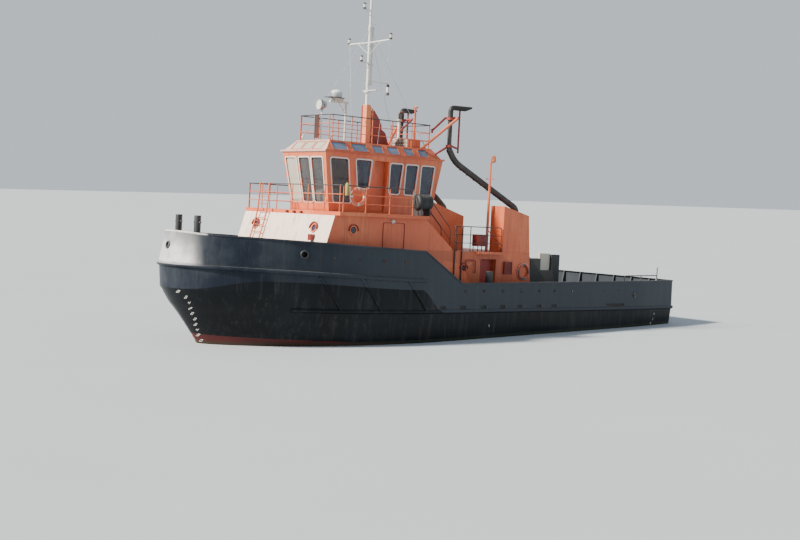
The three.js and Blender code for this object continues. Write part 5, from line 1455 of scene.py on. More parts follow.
def radar_parts():
    """Radar's bracket on its post, and its closed drum under a low cap."""
    x, foot = 4.92, ROOF[0]
    post = [rods([(x, 0, foot), (x, 0, foot), (x, 0, 9.4)],
                 [(x, 0, 9.91), (x, 0, foot + 0.015), (5.34, 0, 9.87)], [0.045, 0.11, 0.02], 20)]
    arm = blocks(((4.84, -0.06, 9.84), (5.79, 0.06, 9.93)), ((5.12, -0.12, 9.93), (5.6, 0.12, 10.04)))
    plate = blocks(((5.13, -0.24, 10.038), (5.94, 0.24, 10.06)))
    radius = 0.245
    drum = [(0, 0), (0.95, 0), (0.97, 0.01), (1, 0.2), (0, 0.2)]
    cap = [(0, 0.2), (1, 0.2), (0.97, 0.235), (0.82, 0.29), (0.4, 0.33), (0, 0.34)]
    forms = [turned([(r * radius, h) for r, h in form], (5.45, 0, 10.06), sides=48) for form in (drum, cap)]
    return post + [arm], [plate], forms[:1], forms[1:]


LAMP = np.array((6.4, 0.3, 9.66))  # middle of the searchlight's barrel


def searchlight_parts():
    """Searchlight: a turned barrel facing forward with a lens set in its rim, in a forked yoke on its foot."""
    shell = turned([(0, -0.2), (0.07, -0.198), (0.13, -0.17), (0.16, -0.12), (0.2, 0.03), (0.215, 0.06),
                    (0.225, 0.1), (0.225, 0.19), (0.212, 0.19), (0.206, 0.14), (0, 0.14)], LAMP, (1, 0, 0), 36)
    lens = turned([(0, 0.145), (0.206, 0.145), (0.206, 0.155), (0.1, 0.172), (0, 0.178)], LAMP, (1, 0, 0), 36)
    yoke = [LAMP + (0, y, z) for y, z in ((-0.21, 0), (-0.2, -0.08), (0, -0.235), (0.2, -0.08), (0.21, 0))]
    arms = sweep(rounded(yoke, 0.06, 6, closed=False), [(-0.02, -0.006), (0.02, -0.006), (0.02, 0.006),
                                                        (-0.02, 0.006)], guide=(1, 0, 0))
    foot = turned([(0, 0), (0.05, 0), (0.05, 0.012), (0.035, 0.02), (0, 0.03)],
                  (LAMP[0], LAMP[1], 9.4005), sides=24)
    knobs = rods([LAMP + (0, y, 0) for y in (-0.24, 0.2)], [LAMP + (0, y, 0) for y in (-0.2, 0.24)], 0.028, 16)
    return [shell, arms, foot, knobs], [lens]


def vent_parts():
    """Air pipe on the locker: a flared foot, an upright pipe with a flange, and a hook that bends down."""
    x, y = 2.05, 0.17
    pipe = [(0, 0), (0.11, 0), (0.11, 0.012), (0.075, 0.06), (0.062, 0.09), (0.062, 0.82),
            (0.105, 0.822), (0.105, 0.87), (0.055, 0.875), (0, 0.876)]
    hook = rounded([(x, y, 9.4), (x, y, 9.72), (1.93, 0.29, 9.745), (1.9, 0.32, 9.69)], 0.07, 8, closed=False)
    return [turned(pipe, (x, y, 8.55), sides=28)], [tube(hook, 0.05, 20)]


def louvres(origin, first, up, outward, width, height, count, depth=0.03):
    """A louvred panel: a flat rim with sloping slats in it, in the plane of first and up."""
    origin, first, up, outward = (np.array(v, float) for v in (origin, first, up, outward))
    corners = [(0, 0), (width, 0), (width, height), (0, height)]
    rim = collar(np.array(grown(corners, -0.03)), np.array(corners, float),
                 (origin, first, up, outward), 0, depth)
    z = (np.arange(count) + 0.5) * (height - 0.06) / count + 0.03
    low = z - 0.4 * height / count
    high = z + 0.3 * height / count
    near, far = 0.02, width - 0.02
    quads = np.stack([np.stack([origin + first * a + up * b + outward * c for a, b, c in
                                ((near, l, depth), (far, l, depth), (far, h, 0.002), (near, h, 0.002))])
                      for l, h in zip(low, high)])
    return [rim, plates(quads, 0.004)]


EXHAUST = (0.367, 1.693)  # x and half spacing of the upright pipes
MOUTH_CUT = [(-0.32, 9.93), (-0.667, 10.092), (-1.2, 10.34), (-1.2, 9.5), (-0.32, 9.5)]  # taken off each end
EXHAUST_FEET = {1: (-3.19, 2.55, 5.4), -1: (-2.7, -1.78, 5.3)}


def exhaust_parts(side):
    """One exhaust: a fat lagged pipe from its uptake that slants forward, a thinner one that stands
    up and turns aft, and bands and flanges round both. The end is cut off on a slant, so its mouth
    looks down and aft."""
    x, y = EXHAUST[0], EXHAUST[1] * side
    x0, y0, z0 = EXHAUST_FEET[side]
    low = rounded([(x0, y0, z0), (x0 + 0.05, y0, z0 + 0.35), (-0.02, y, 7.66), (x, y, 8.2)], 0.5, 14,
                  closed=False)
    high = rounded([(x, y, 9.4), (x, y, 10.05), (x - 0.387, y + 0.07 * side, 10.05),
                    (x - 1.034, y + 0.21 * side, 10.05)], 0.4, 14, closed=False)
    fat, upright, bent = tube(low, 0.14, 28), rods((x, y, 8.15), (x, y, 9.48), 0.1, 28), tube(high, 0.112, 28)
    start, end = np.array((x0 + 0.05, y0, z0 + 0.35)), np.array((-0.06, y, 7.62))
    line = (end - start) / np.linalg.norm(end - start)
    band = [(0.139, -0.02), (0.149, -0.018), (0.149, 0.018), (0.139, 0.02)]
    bands = [turned(band, start + (end - start) * s, line, 28) for s in np.linspace(0.12, 0.9, 8)]
    clamps = [turned([(0.099, -0.055), (r, -0.055), (r, 0.055), (0.099, 0.055)], (x, y, z), sides=28)
              for r, z in ((0.16, 8.34), (0.165, 9.55))]
    return [fat, upright], [bent], bands, clamps


def bracket_parts(side):
    """Pipe frame that holds an exhaust to the wheelhouse roof: two beams, a crossbar, a leg and its links."""
    pale = [((1.6, 1.24, 8.14), (0.19, 1.98, 9.58), 0.062)]
    dark = [((0.9, 1.13, 9.02), (0.18, 1.15, 9.62), 0.05), ((0.18, 1.13, 9.62), (0.19, 2.01, 9.59), 0.052),
            ((0.19, 1.79, 9.6), (-0.09, 1.786, 9.6), 0.04),
            ((-0.09, 1.786, 8.06), (-0.09, 1.786, 9.935), 0.042),
            ((0.367, 1.74, 8.365), (-0.09, 1.786, 8.25), 0.045),
            ((0.9, 1.32, 7.92), (0.367, 1.693, 8.355), 0.05)]
    sets = [rods([np.array(a) * (1, side, 1) for a, _, _ in rows],
                 [np.array(b) * (1, side, 1) for _, b, _ in rows],
                 [r for _, _, r in rows], 18) for rows in (pale, dark)]
    y0, y1 = sorted((side * 1.07, side * 1.19))
    return [sets[0]], [sets[1], blocks(((0.91, y0, 8.89), (0.95, y1, 9.08)))]


def stair_parts(side):
    """Ship's stair: channel strings, treads with turned-down edges, and bent tube handrails."""
    high, low = (2.848, 5.18), (1.35, HOUSE_TOP)  # x and height of its head and foot
    made, rails = [], []
    for y in (2.56, 3.15):
        outline = [high, (high[0], high[1] - 0.24), (low[0] + 0.16, low[1]), (low[0] - 0.06, low[1])]
        a, b = sorted((side * (y - 0.006), side * (y + 0.006)))
        made.append(prism(outline, "y", a, b))
        path = [(2.826, side * y, 5.08), (2.826, side * y, 6.13), (1.35, side * y, 4.7), (1.35, side * y, 3.77)]
        rails.append(tube(rounded(path, 0.16, 8, closed=False), 0.019, 14))
        middle = [(2.826, side * y, 5.66), (1.35, side * y, 4.23)]
        rails.append(tube(np.array(middle), 0.013, 12))
    inner, outer = sorted((side * 2.566, side * 3.144))
    for i in range(1, 7):
        share = i / 6.6
        x, z = high[0] + (low[0] - high[0]) * share, high[1] - 0.06 + (low[1] - high[1]) * share
        tread = [(x - 0.12, z), (x + 0.1, z), (x + 0.1, z - 0.03), (x + 0.094, z - 0.03),
                 (x + 0.094, z - 0.006), (x - 0.114, z - 0.006), (x - 0.114, z - 0.03), (x - 0.12, z - 0.03)]
        made.append(prism(tread, "y", inner, outer))
        ribs = np.linspace(x - 0.1, x + 0.08, 7)
        made.append(rods([(r, inner + 0.02, z) for r in ribs], [(r, outer - 0.02, z) for r in ribs], 0.004, 6))
    return made, rails


def ladder_parts():
    """Ladder on the front of the forward house: two bent strings that stand off the bridge deck, and rungs."""
    made, strings = [], (-2.11, -1.41)
    line = [(7.72, 6.29), (7.8, 5.05), (8.53, 2.7)]
    for y in strings:
        path = rounded([(x, y, z) for x, z in line], 0.5, 8, closed=False)
        made.append(tube(path, 0.032, 14))
        made.append(rods((7.53, y, 6.25), (7.73, y, 6.25), 0.02, 12))
    z = np.linspace(6.29, 2.7, 13)[1:-1]
    x = np.interp(z, [2.7, 5.05, 6.29], [8.53, 7.8, 7.72])
    ends = [np.stack((x, np.full_like(x, y), z), 1) for y in strings]
    made.append(rods(ends[0], ends[1], 0.017, 12))
    return made


def roof_rail_parts(side):
    """Rail along the aft house's roof, carried past its fore end to two tall poles on the main deck."""
    inner, outer = side * 3.21, side * 3.283
    top, aft, poles, posts = 4.83, -1.69, (1.15, 0.74), (1.0, 0.2, -0.75)
    made = [rods([(x, outer, MAIN_DECK) for x in poles], [(x, outer, top - 0.02) for x in poles], 0.03, 16),
            rods([(x, outer, top - 0.02) for x in poles], [(x, inner, top) for x in poles], 0.022, 12),
            rods([(x, outer, MAIN_DECK) for x in poles], [(x, outer, MAIN_DECK + 0.015) for x in poles],
                 0.075, 20),
            rods([(x, inner, HOUSE_TOP) for x in posts], [(x, inner, top) for x in posts], 0.021, 14),
            rods([(x, inner, HOUSE_TOP) for x in posts + (aft,)],
                 [(x, inner, HOUSE_TOP + 0.012) for x in posts + (aft,)], 0.05, 16)]
    path = [(1.174, inner, top), (aft, inner, top), (aft, inner, HOUSE_TOP)]
    made.append(tube(rounded(path, 0.12, 8, closed=False), 0.021, 14))
    made.append(rods([(1.174, inner, z) for z in (4.47, 4.11)], [(aft, inner, z) for z in (4.47, 4.11)],
                     0.015, 12))
    return made


def stern_rail_parts(side):
    """A bent pipe standing off the aft bulwark's cap, with a tall post on a flared foot at its after end."""
    x = np.array((-8.96, -10.2, -11.44))
    y = side * (np.array([side_at(a, MAIN_DECK)[0] for a in x]) - 0.045)
    z = rail(x)
    bar = np.stack((x, y, z + 0.25), 1)
    path = np.concatenate(([(x[0], y[0], z[0])], bar))
    post = rods([(x[1], y[1], z[1]), (x[2], y[2], z[2])],
                [(x[1], y[1], z[1] + 0.25), (x[2], y[2], z[2] + 0.65)], 0.026, 16)
    foot = turned([(0, 0), (0.09, 0), (0.035, 0.16), (0, 0.16)], (x[2], y[2], z[2]), sides=20)
    return [tube(rounded(path, 0.16, 8, closed=False), 0.026, 14), post, foot]


def lamp_post_parts():
    """Tapered post on the aft house's roof with a crossbar, short clips up both sides and a floodlight head on
    an arm.
    """
    x, y = -1.48, 2.5
    post = turned([(0, 0), (0.14, 0), (0.14, 0.015), (0.07, 0.02), (0.045, 4.0), (0, 4.0)],
                  (x, y, HOUSE_TOP), sides=24)
    head = turned([(0, 0), (0.05, 0), (0.11, 0.04), (0.11, 0.1), (0.085, 0.28), (0.05, 0.31), (0, 0.31)],
                  (x - 0.17, y, 7.74), sides=28)
    cross = rods([(x, y - 0.25, 7.0), (x, y, 7.7)], [(x, y + 0.25, 7.0), (x - 0.17, y, 7.8)], 0.022, 14)
    clips = rods([(x, y + 0.075 * s, z) for s in (1, -1) for z in (4.5, 5.4, 6.3)],
                 [(x, y + 0.03 * s, z) for s in (1, -1) for z in (4.5, 5.4, 6.3)], 0.012, 10)
    return [post, head, cross, clips]


def buoy_parts(centre):
    """A lifebuoy ring with its grab line: the line lies along the ring's outside between four bands."""
    ring = ring_tube(centre, (0, 1, 0), 0.31, 0.055, 64, 20)
    turn = np.linspace(0, 2 * np.pi, 97)[:-1]
    slack = 0.371 + 0.012 * np.abs(np.sin(2 * turn))
    path = np.array(centre) + np.stack((slack * np.cos(turn), 0 * turn, slack * np.sin(turn)), 1)
    return ring, tube(path, 0.006, 8, closed=True)


RAFT = {"at": (3.27, 3.44, 5.77), "half": 0.4, "radius": 0.325}


def raft_parts():
    """Liferaft in its valise: a round bundle whose radius swells between straps and tucks in at its ends."""
    x, y, z = RAFT["at"]
    half, fat = RAFT["half"], RAFT["radius"]
    h = np.linspace(-half, half, 60)[:, None]
    turn = np.linspace(0, 2 * np.pi, 72, endpoint=False)[None]
    end = np.clip((half - np.abs(h)) / 0.1, 0, 1)
    radius = fat * (0.62 + 0.38 * np.sqrt(1 - (1 - end) ** 2))
    radius = radius * (1 - 0.03 * np.exp(-((np.abs(h) - 0.18) / 0.03) ** 2))
    folds = 0.006 * np.sin(5 * turn + 9 * h) + 0.004 * np.sin(11 * turn - 14 * h + 1)
    radius = radius * (1 + folds)
    points = np.stack((x + h + 0 * turn, y + radius * np.cos(turn), z + radius * np.sin(turn)), -1)
    strap = [(fat - 0.008, -0.022), (fat + 0.004, -0.02), (fat + 0.004, 0.02), (fat - 0.008, 0.022)]
    straps = [turned(strap, (x + d, y, z), (1, 0, 0), 48) for d in (-0.18, 0.18)]
    return [grid(points, around=True, ends=(True, True))], straps


def propeller_parts(side):
    """Four twisted blades on a hub: at each radius the chord turns to the angle whose tangent is the pitch over
    the way round, its outline is a rounded paddle, and its section is a flat lens."""
    centre = np.array((-9.535, SHAFT["y"] * side, SHAFT["z"]))
    hub = turned([(0, -0.0347), (0.06, -0.0347), (0.06, -0.03), (0.13, -0.03), (0.135, 0.06), (0.13, 0.2),
                  (0.09, 0.33), (0.04, 0.37), (0, 0.38)], centre, (-1, 0, 0), 36)
    share = np.linspace(0, 1, 16)[:, None]
    radius = 0.1 + 0.64 * share
    half = 0.24 * np.sqrt(np.clip(1 - ((share - 0.55) / 0.62) ** 2, 0.0, 1)) * (1 - 0.25 * (1 - share))
    half = np.where(share > 0.98, 0.03, half)
    chord = np.linspace(-1, 1, 15)[None]
    angle = np.arctan(0.95 / (2 * np.pi * radius)) * side
    blades = []
    for quarter in range(4):
        rows = []
        for face in (1, -1):
            thick = face * 0.018 * (1 - chord**2) * (1.2 - share)
            along = half * chord
            forward = along * np.sin(angle) + thick * np.cos(angle) - 0.085
            across = along * np.cos(angle) - thick * np.sin(angle)
            rows.append(np.stack((forward, across, radius + 0 * chord), -1))
        loop = np.concatenate((rows[0], rows[1][:, -2:0:-1]), 1)
        turn = quarter * np.pi / 2
        y = loop[..., 1] * np.cos(turn) - loop[..., 2] * np.sin(turn)
        z = loop[..., 1] * np.sin(turn) + loop[..., 2] * np.cos(turn)
        blades.append(grid(centre + np.stack((loop[..., 0], y, z), -1), around=True, ends=(True, True)))
    return [hub] + blades


def rudder_parts(side):
    """Rudder blade: a foil section swept in at the foot, with plates at top and bottom, on a round stock."""
    y = SHAFT["y"] * side
    t = np.linspace(0, np.pi, 24)
    x = 0.45 * np.cos(t)
    thick = 0.085 * np.sqrt(np.clip(0.5 + x / 0.9, 0, 1)) * np.clip((0.5 - x / 0.9) * 1.8, 0, 1) ** 0.45 * 1.15
    section = np.concatenate((np.stack((x, thick), 1), np.stack((x, -thick), 1)[-2:0:-1]))
    rows = np.stack([np.concatenate((section + (RUDDER_X, y), np.full((len(section), 1), z)), 1)
                     for z in (-2.55, -2.3, -1.6, -1.02)])
    blade = grid(rows, around=True, ends=(True, True))
    caps = blocks(((-11.34, y - 0.075, -2.56), (-10.46, y + 0.075, -2.545)),
                  ((-11.34, y - 0.075, -1.03), (-10.46, y + 0.075, -1.015)))
    stock = turned([(0, 0), (0.11, 0), (0.11, 0.03), (0.068, 0.035), (0.068, 0.085), (0, 0.085)],
                   (RUDDER_X, y, -1.016), sides=28)
    return [blade, caps, stock]


CAPSTAN = (10.3, 0, 3.15)  # middle of the drum's foot


def capstan_parts():
    """Capstan drum: a waisted profile with whelps, ribs that stand out along the waist."""
    x, _, foot = CAPSTAN
    drum = turned([(0, 0.0063), (0.28, 0.0063), (0.29, 0.02), (0.29, 0.05), (0.24, 0.09), (0.185, 0.15),
                   (0.16, 0.25), (0.17, 0.35), (0.21, 0.42), (0.255, 0.46), (0.26, 0.5), (0.24, 0.525),
                   (0, 0.53)], CAPSTAN, sides=48)
    turn = np.arange(8) * np.pi / 4
    z = np.linspace(0.1, 0.44, 9)
    radius = np.interp(z, [0.1, 0.15, 0.25, 0.35, 0.44], [0.235, 0.195, 0.172, 0.182, 0.23])
    whelps = [tube(np.stack((x + radius * np.cos(a), radius * np.sin(a), foot + z), 1), 0.02, 8) for a in turn]
    sockets = rods(*[[(x + 0.2 * math.cos(a), 0.2 * math.sin(a), z) for a in turn] for z in (3.655, 3.678)],
                   0.018, 10)
    return [drum] + whelps + [sockets]


def winch_drum_parts():
    """Towing drum: spoked flanges, a barrel, and lays of wire as a ribbed turned form."""
    x, z = -5.8, 2.4
    centre = (x, 0, z)
    edge, wire = 1.35, 0.034
    flange = [(0, -edge), (0.2, -edge), (0.2, -edge - 0.02), (0.26, -edge - 0.02), (0.26, -edge),
              (0.9, -edge), (0.9, -edge + 0.05), (0.87, -edge + 0.05), (0.84, -edge + 0.03),
              (0.3, -edge + 0.03), (0.3, -edge + 0.06), (0, -edge + 0.06)]
    made = [turned(flange, centre, (0, 1, 0), 64), turned([(r, -h) for r, h in flange], centre, (0, 1, 0), 64)]
    made.append(turned([(0, -edge), (0.58, -edge), (0.58, edge), (0, edge)], centre, (0, 1, 0), 64))
    made.append(rods((x, -1.47, z), (x, 1.47, z), 0.1, 32))
    turn = np.arange(8) * np.pi / 4
    for s in (1, -1):
        y = s * (edge + 0.012)
        spokes = [[(x + r * math.cos(a), y, z + r * math.sin(a)) for a in turn] for r in (0.25, 0.85)]
        made.append(rods(*spokes, 0.022, 8))
    h = np.linspace(-edge + 0.06, edge - 0.06, int((2 * edge - 0.12) / wire) * 6)
    ribs = 0.655 + 0.013 * np.abs(np.sin(np.pi * h / wire))
    lays = turned([(0.57, h[0])] + list(zip(ribs, h)) + [(0.57, h[-1])], centre, (0, 1, 0), 64)
    return made, [lays]


def post_with_cap(x, y, low, high, radius):
    """A mooring post: a thick tube with a slightly wider rounded lid."""
    return turned([(0, 0), (radius, 0), (radius, high - low - 0.06), (radius * 0.99, high - low - 0.02),
                   (radius * 0.95, high - low), (0, high - low)], (x, y, low), sides=36)


def bow_bitt_parts():
    """Two tall posts at the bow with pins near their tops and a fat bar between them."""
    x, posts = 12.4, (-0.72, 0.72)
    made = [post_with_cap(x, y, 2.9, 4.79, 0.135) for y in posts]
    made.append(rods([(x, y - 0.26, 4.52) for y in posts], [(x, y + 0.26, 4.52) for y in posts], 0.03, 20))
    made.append(rods((x, -0.9, 3.6), (x, 0.9, 3.6), 0.09, 28))
    made.append(rods([(x, y, 2.93) for y in posts], [(x, y, 2.96) for y in posts], 0.22, 32))
    return made


def side_bitt_parts(side):
    """A fat post on a plate inside the bulwark, with gussets at its foot."""
    x, y = -0.385, 3.9 * side
    corners = rounded([(x - 0.26, y - 0.2), (x + 0.26, y - 0.2), (x + 0.26, y + 0.2), (x - 0.26, y + 0.2)],
                      0.08, 6)
    plate = slab(corners, ((0, 0, 0), (1, 0, 0), (0, 1, 0), (0, 0, 1)), 1.352, 1.41)
    ribs = [[(x + d, y, 1.41), (x + 1.6 * d, y, 1.41), (x + 1.05 * d, y, 1.75), (x + d, y, 1.75)]
            for d in (-0.155, 0.155)]
    return [plate, post_with_cap(x, y, 1.4, 2.93, 0.16), plates(ribs, 0.012)]


# Operators: one for each piece or group of like pieces


class PieceOperator(bpy.types.Operator):
    """Shared base: runs make() with the scene's colours and sizes"""

    bl_options = {"REGISTER", "UNDO"}

    def execute(self, context):
        self.make(context.scene.tug_colours, context.scene.tug_sizes)
        return {"FINISHED"}


class TUG_OT_paints(PieceOperator):
    """Make the paints and other materials"""

    bl_idname, bl_label = "tug.paints", "Paints"

    def make(self, colours, sizes):
        make_paints(colours)


class TUG_OT_hull(PieceOperator):
    """Hull with its decks, stern gear, hatch coaming and draft figures"""

    bl_idname, bl_label = "tug.hull", "Hull"

    def make(self, colours, sizes):
        well = [blocks(((-10.86, -0.46, 0.95), (-9.94, 0.46, 2.0)))]
        piece("hull_shell", [hull_shell()], PAINT["hull"], stands_for=["hull"], smooth=24,
              holes=well)
        piece("stern_gear", stern_gear(), PAINT["antifouling"], bevel=0.005)
        piece("hatch_coaming", hatch_parts(), PAINT["dark"], bevel=0.004)
        piece("draft_figures", draft_marks(), PAINT["white"])


class TUG_OT_bulwarks(PieceOperator):
    """Bulwark plates with their openings, brackets, eye rims and cap rails"""

    bl_idname, bl_label = "tug.bulwarks", "Bulwarks"

    def make(self, colours, sizes):
        for name, ahead in (("fore", True), ("aft", False)):
            piece(name + "_bulwark_plate", [bulwark(ahead)], PAINT["hull"],
                  stands_for=[name + "_bulwark"], holes=bulwark_openings(ahead), smooth=30)
            piece(name + "_bulwark_stays", bulwark_stays(ahead, sizes.stay_step), PAINT["hull"])
            piece(name + "_cap_rail", [cap_rail(ahead)], PAINT["cap"], bevel=0.01)
        piece("mooring_eyes", eye_rims(), PAINT["dark"])
        # Black flaps and discs inside the bulwark's openings: painted shade.
        piece("port_flaps_and_shade_discs", port_flaps_and_shade_discs(), PAINT["rubber"])


class TUG_OT_fenders(PieceOperator):
    """Half-round fenders round the hull and the sloping bars between them"""

    bl_idname, bl_label = "tug.fenders", "Fenders"

    def make(self, colours, sizes):
        piece("fender_strakes", [strake(True), strake(False)], PAINT["hull"],
              stands_for=["fender_belt"], smooth=50)
        piece("fender_diagonals", diagonals(), PAINT["hull"], smooth=50)


class TUG_OT_houses(PieceOperator):
    """Paint on the deckhouses, casing, uptakes and bridge deck, with their portholes and trims"""

    bl_idname, bl_label = "tug.houses", "Houses"

    def make(self, colours, sizes):
        dress(("forward_house", "aft_house", "engine_casing", "port_uptake", "starboard_uptake", "bridge_deck"),
              PAINT["orange"], sizes.plate_edge)
        rims, glass, brows = portholes()
        piece("porthole_rims", rims, PAINT["orange_rail"])
        piece("porthole_glass", glass, PAINT["glass"])
        # Dark red eyebrows: painted shadow over the portholes.
        piece("porthole_brows", brows, PAINT["red"])
        red, lamps, float_box = house_fittings()
        piece("house_fittings", red, PAINT["red"])
        piece("bulkhead_lamps", lamps, PAINT["lens"])
        piece("rail_plate", [blocks(((6.535, 0.02, 8.25), (6.55, 0.32, 9.2)))], PAINT["brown_rail"])
        piece("smoke_float", float_box, PAINT["lime"])


class TUG_OT_wheelhouse(PieceOperator):
    """Wheelhouse walls and roof, windows, skylights and what stands inside"""

    bl_idname, bl_label = "tug.wheelhouse", "Wheelhouse"

    def make(self, colours, sizes):
        dress(("wheelhouse", "wheelhouse_roof"), PAINT["orange"], sizes.plate_edge)
        dress(("helm_desk",), PAINT["white"], 0.02)
        dress(("helm_chair",), PAINT["vinyl"], 0.02)
        frames, seals, panes = window_parts(sizes.frame_width)
        piece("window_frames", frames, PAINT["frames"], smooth=50)
        piece("window_seals", seals, PAINT["rubber"])
        piece("side_panes", panes["glass"], PAINT["glass"],
              stands_for=["aft_glazing"], smooth=0)
        piece("front_panes", panes["clear"], PAINT["clear"],
              stands_for=["front_glazing"], smooth=0)
        piece("pale_glare_pane", panes["pale_glare"], PAINT["pale_glare"], smooth=0)
        sky_frames, sky_panes, pale_panes = skylight_parts()
        piece("skylight_frames", sky_frames, PAINT["orange_rail"], smooth=50)
        piece("skylight_panes", sky_panes, PAINT["sky_glass"], stands_for=["skylight_glazing"],
              smooth=0)
        piece("front_skylight_panes", pale_panes, PAINT["pale_glare"], smooth=0)


class TUG_OT_doors(PieceOperator):
    """Paint on the four outer doors"""

    bl_idname, bl_label = "tug.doors", "Doors"

    def make(self, colours, sizes):
        dress(("port_wheelhouse_door", "starboard_wheelhouse_door"), PAINT["orange_rail"],
              0.005)
        # The house doors' dark red is partly painted shade, for the recesses they stand in.
        dress(("port_house_door", "starboard_house_door"), PAINT["red"], 0.005)


class TUG_OT_rails(PieceOperator):
    """Rails of the bridge deck, roofs and stern, the stairs and the ladder"""

    bl_idname, bl_label = "tug.rails", "Rails"

    def make(self, colours, sizes):
        y, x, z = 3.4, 7.5, 5.2
        runs = {"bridge": [(3.76, y, z), (x, y, z), (x, -y, z), (2.91, -y, z)]}
        z, near, half = ROOF[0], 6.51, 1.13
        runs["roof"] = [(1.43, -half, z), (0.99, -half, z), (0.99, half, z), (near, half, z), (near, -half, z),
                        (2.33, -half, z)]
        for name, corners in runs.items():
            hand, rest = railing(corners, (1.06 if name == "bridge" else 1.05, 0.7, 0.35), 1.15, sizes.rail,
                                 sizes.thin_rail)
            piece(name + "_railing", rest, PAINT["orange_rail"], stands_for=[name + "_rail"])
            piece(name + "_handrail", hand, PAINT["dark"])
        piece("house_ladder", ladder_parts(), PAINT["orange_rail"], stands_for=["bow_ladder"])
        for name, side in SIDES:
            steps, rails = stair_parts(side)
            piece(name + "_stair_steps", steps, PAINT["red"], stands_for=[name + "_stair"])
            piece(name + "_stair_rails", rails, PAINT["brown_rail"])
            piece(name + "_house_railing", roof_rail_parts(side), PAINT["brown_rail"],
                  stands_for=[name + "_roof_rail"])
            piece(name + "_stern_railing", stern_rail_parts(side), PAINT["dark"],
                  stands_for=[name + "_stern_rail"])


class TUG_OT_rig(PieceOperator):
    """Mast with its lamps and stays, radar, searchlight, vent and lockers on the wheelhouse roof"""

    bl_idname, bl_label = "tug.rig", "Mast and roof gear"

    def make(self, colours, sizes):
        dress(("mast_base",), PAINT["tower"], 0.008)
        dress(("roof_locker",), PAINT["orange"], 0.008)
        piece("mast_pole", mast_parts(), PAINT["white"], stands_for=["mast"])
        stays, screws = stay_lines()
        piece("mast_stays", stays, PAINT["galvanised"])
        piece("stay_screws", [screws], PAINT["galvanised"])
        spots = [(MAST_X, -1.45, 12.63), (MAST_X, 1.45, 12.63), (4.2, 0, 11.74), (4.16, 0, 14.01)]
        bases, lenses, caps = zip(*[lantern(p) for p in spots] + [lantern((2.66, 0, 10.43), 0.075, 0.5)])
        piece("lantern_bodies", list(bases) + list(caps), PAINT["dark"])
        piece("lantern_lenses", list(lenses), PAINT["lens"])
        mount, plate, drum, cap = radar_parts()
        piece("radar_post", mount, PAINT["cream"], stands_for=["radar_mount"], bevel=0.003)
        # The platform plate in dark steel: painted shade, for its underside seen from below.
        piece("radar_plate", plate, PAINT["dark"], bevel=0.003)
        piece("radar_drum", drum, PAINT["galvanised"], smooth=50)
        piece("radar_cap", cap, PAINT["radar"], stands_for=["radar_dome"], smooth=50)
        lamp, lens = searchlight_parts()
        piece("searchlight_shell", lamp, PAINT["galvanised"], body="searchlight_body",
              stands_for=["searchlight"], smooth=50)
        piece("searchlight_lens", lens, PAINT["lens"], body="searchlight_body")
        post = turned([(0, 0), (0.1, 0), (0.1, 0.012), (0.035, 0.016), (0.035, 1.21), (0.065, 1.215),
                       (0.065, 1.2295), (0, 1.2295)], (LAMP[0], LAMP[1], ROOF[0]), sides=24)
        piece("searchlight_stand", [post], PAINT["white"], stands_for=["searchlight_post"])
        pipe, hook = vent_parts()
        piece("air_pipe", pipe, PAINT["cream"], stands_for=["roof_vent"])
        piece("air_pipe_hook", hook, PAINT["brown_rail"])
        vents = [louvres((2.172, y, z), (0, 1, 0), (0, 0, 1), (1, 0, 0), 0.42, 0.15, 4)
                 for y in (0.01, 0.5) for z in (8.2, 8.37)]
        piece("locker_louvres", sum(vents, []), PAINT["cream"])
        piece("lamp_mast", lamp_post_parts(), PAINT["orange_rail"], stands_for=["lamp_post"])


class TUG_OT_exhausts(PieceOperator):
    """Exhaust pipes with their bands, and the frames that hold them"""

    bl_idname, bl_label = "tug.exhausts", "Exhausts"

    def make(self, colours, sizes):
        for name, side in SIDES:
            pipes, bent, bands, clamps = exhaust_parts(side)
            below = prism(MOUTH_CUT, "y", *sorted((side * 1.5, side * 2.2)))
            piece(name + "_exhaust_pipe", pipes, PAINT["exhaust"],
                  stands_for=[name + "_exhaust"], smooth=50)
            piece(name + "_exhaust_bend", bent, PAINT["exhaust"], smooth=50, holes=[below])
            piece(name + "_exhaust_bands", bands, PAINT["brown_rail"])
            piece(name + "_exhaust_clamps", clamps, PAINT["red"])
            beam, frame = bracket_parts(side)
            piece(name + "_exhaust_beam", beam, PAINT["orange_rail"],
                  stands_for=[name + "_pipe_bracket"])
            piece(name + "_exhaust_frame", frame, PAINT["red"])


class TUG_OT_safety(PieceOperator):
    """Lifebuoys, and the liferaft in its cradle"""

    bl_idname, bl_label = "tug.safety", "Lifesaving gear"

    def make(self, colours, sizes):
        for name, centre in BUOYS.items():
            node = name.replace("buoy", "lifebuoy")
            ring, line = buoy_parts(centre)
            piece(name + "_ring", [ring], PAINT[name], stands_for=[node], smooth=60)
            piece(name + "_line", [line], PAINT["white"])
        cover, straps = raft_parts()
        piece("raft_cover", cover, PAINT["cover"], stands_for=["liferaft"], smooth=60)
        piece("raft_straps", straps, PAINT["rubber"])
        dress(("liferaft_cradle",), PAINT["dark"], 0.004)


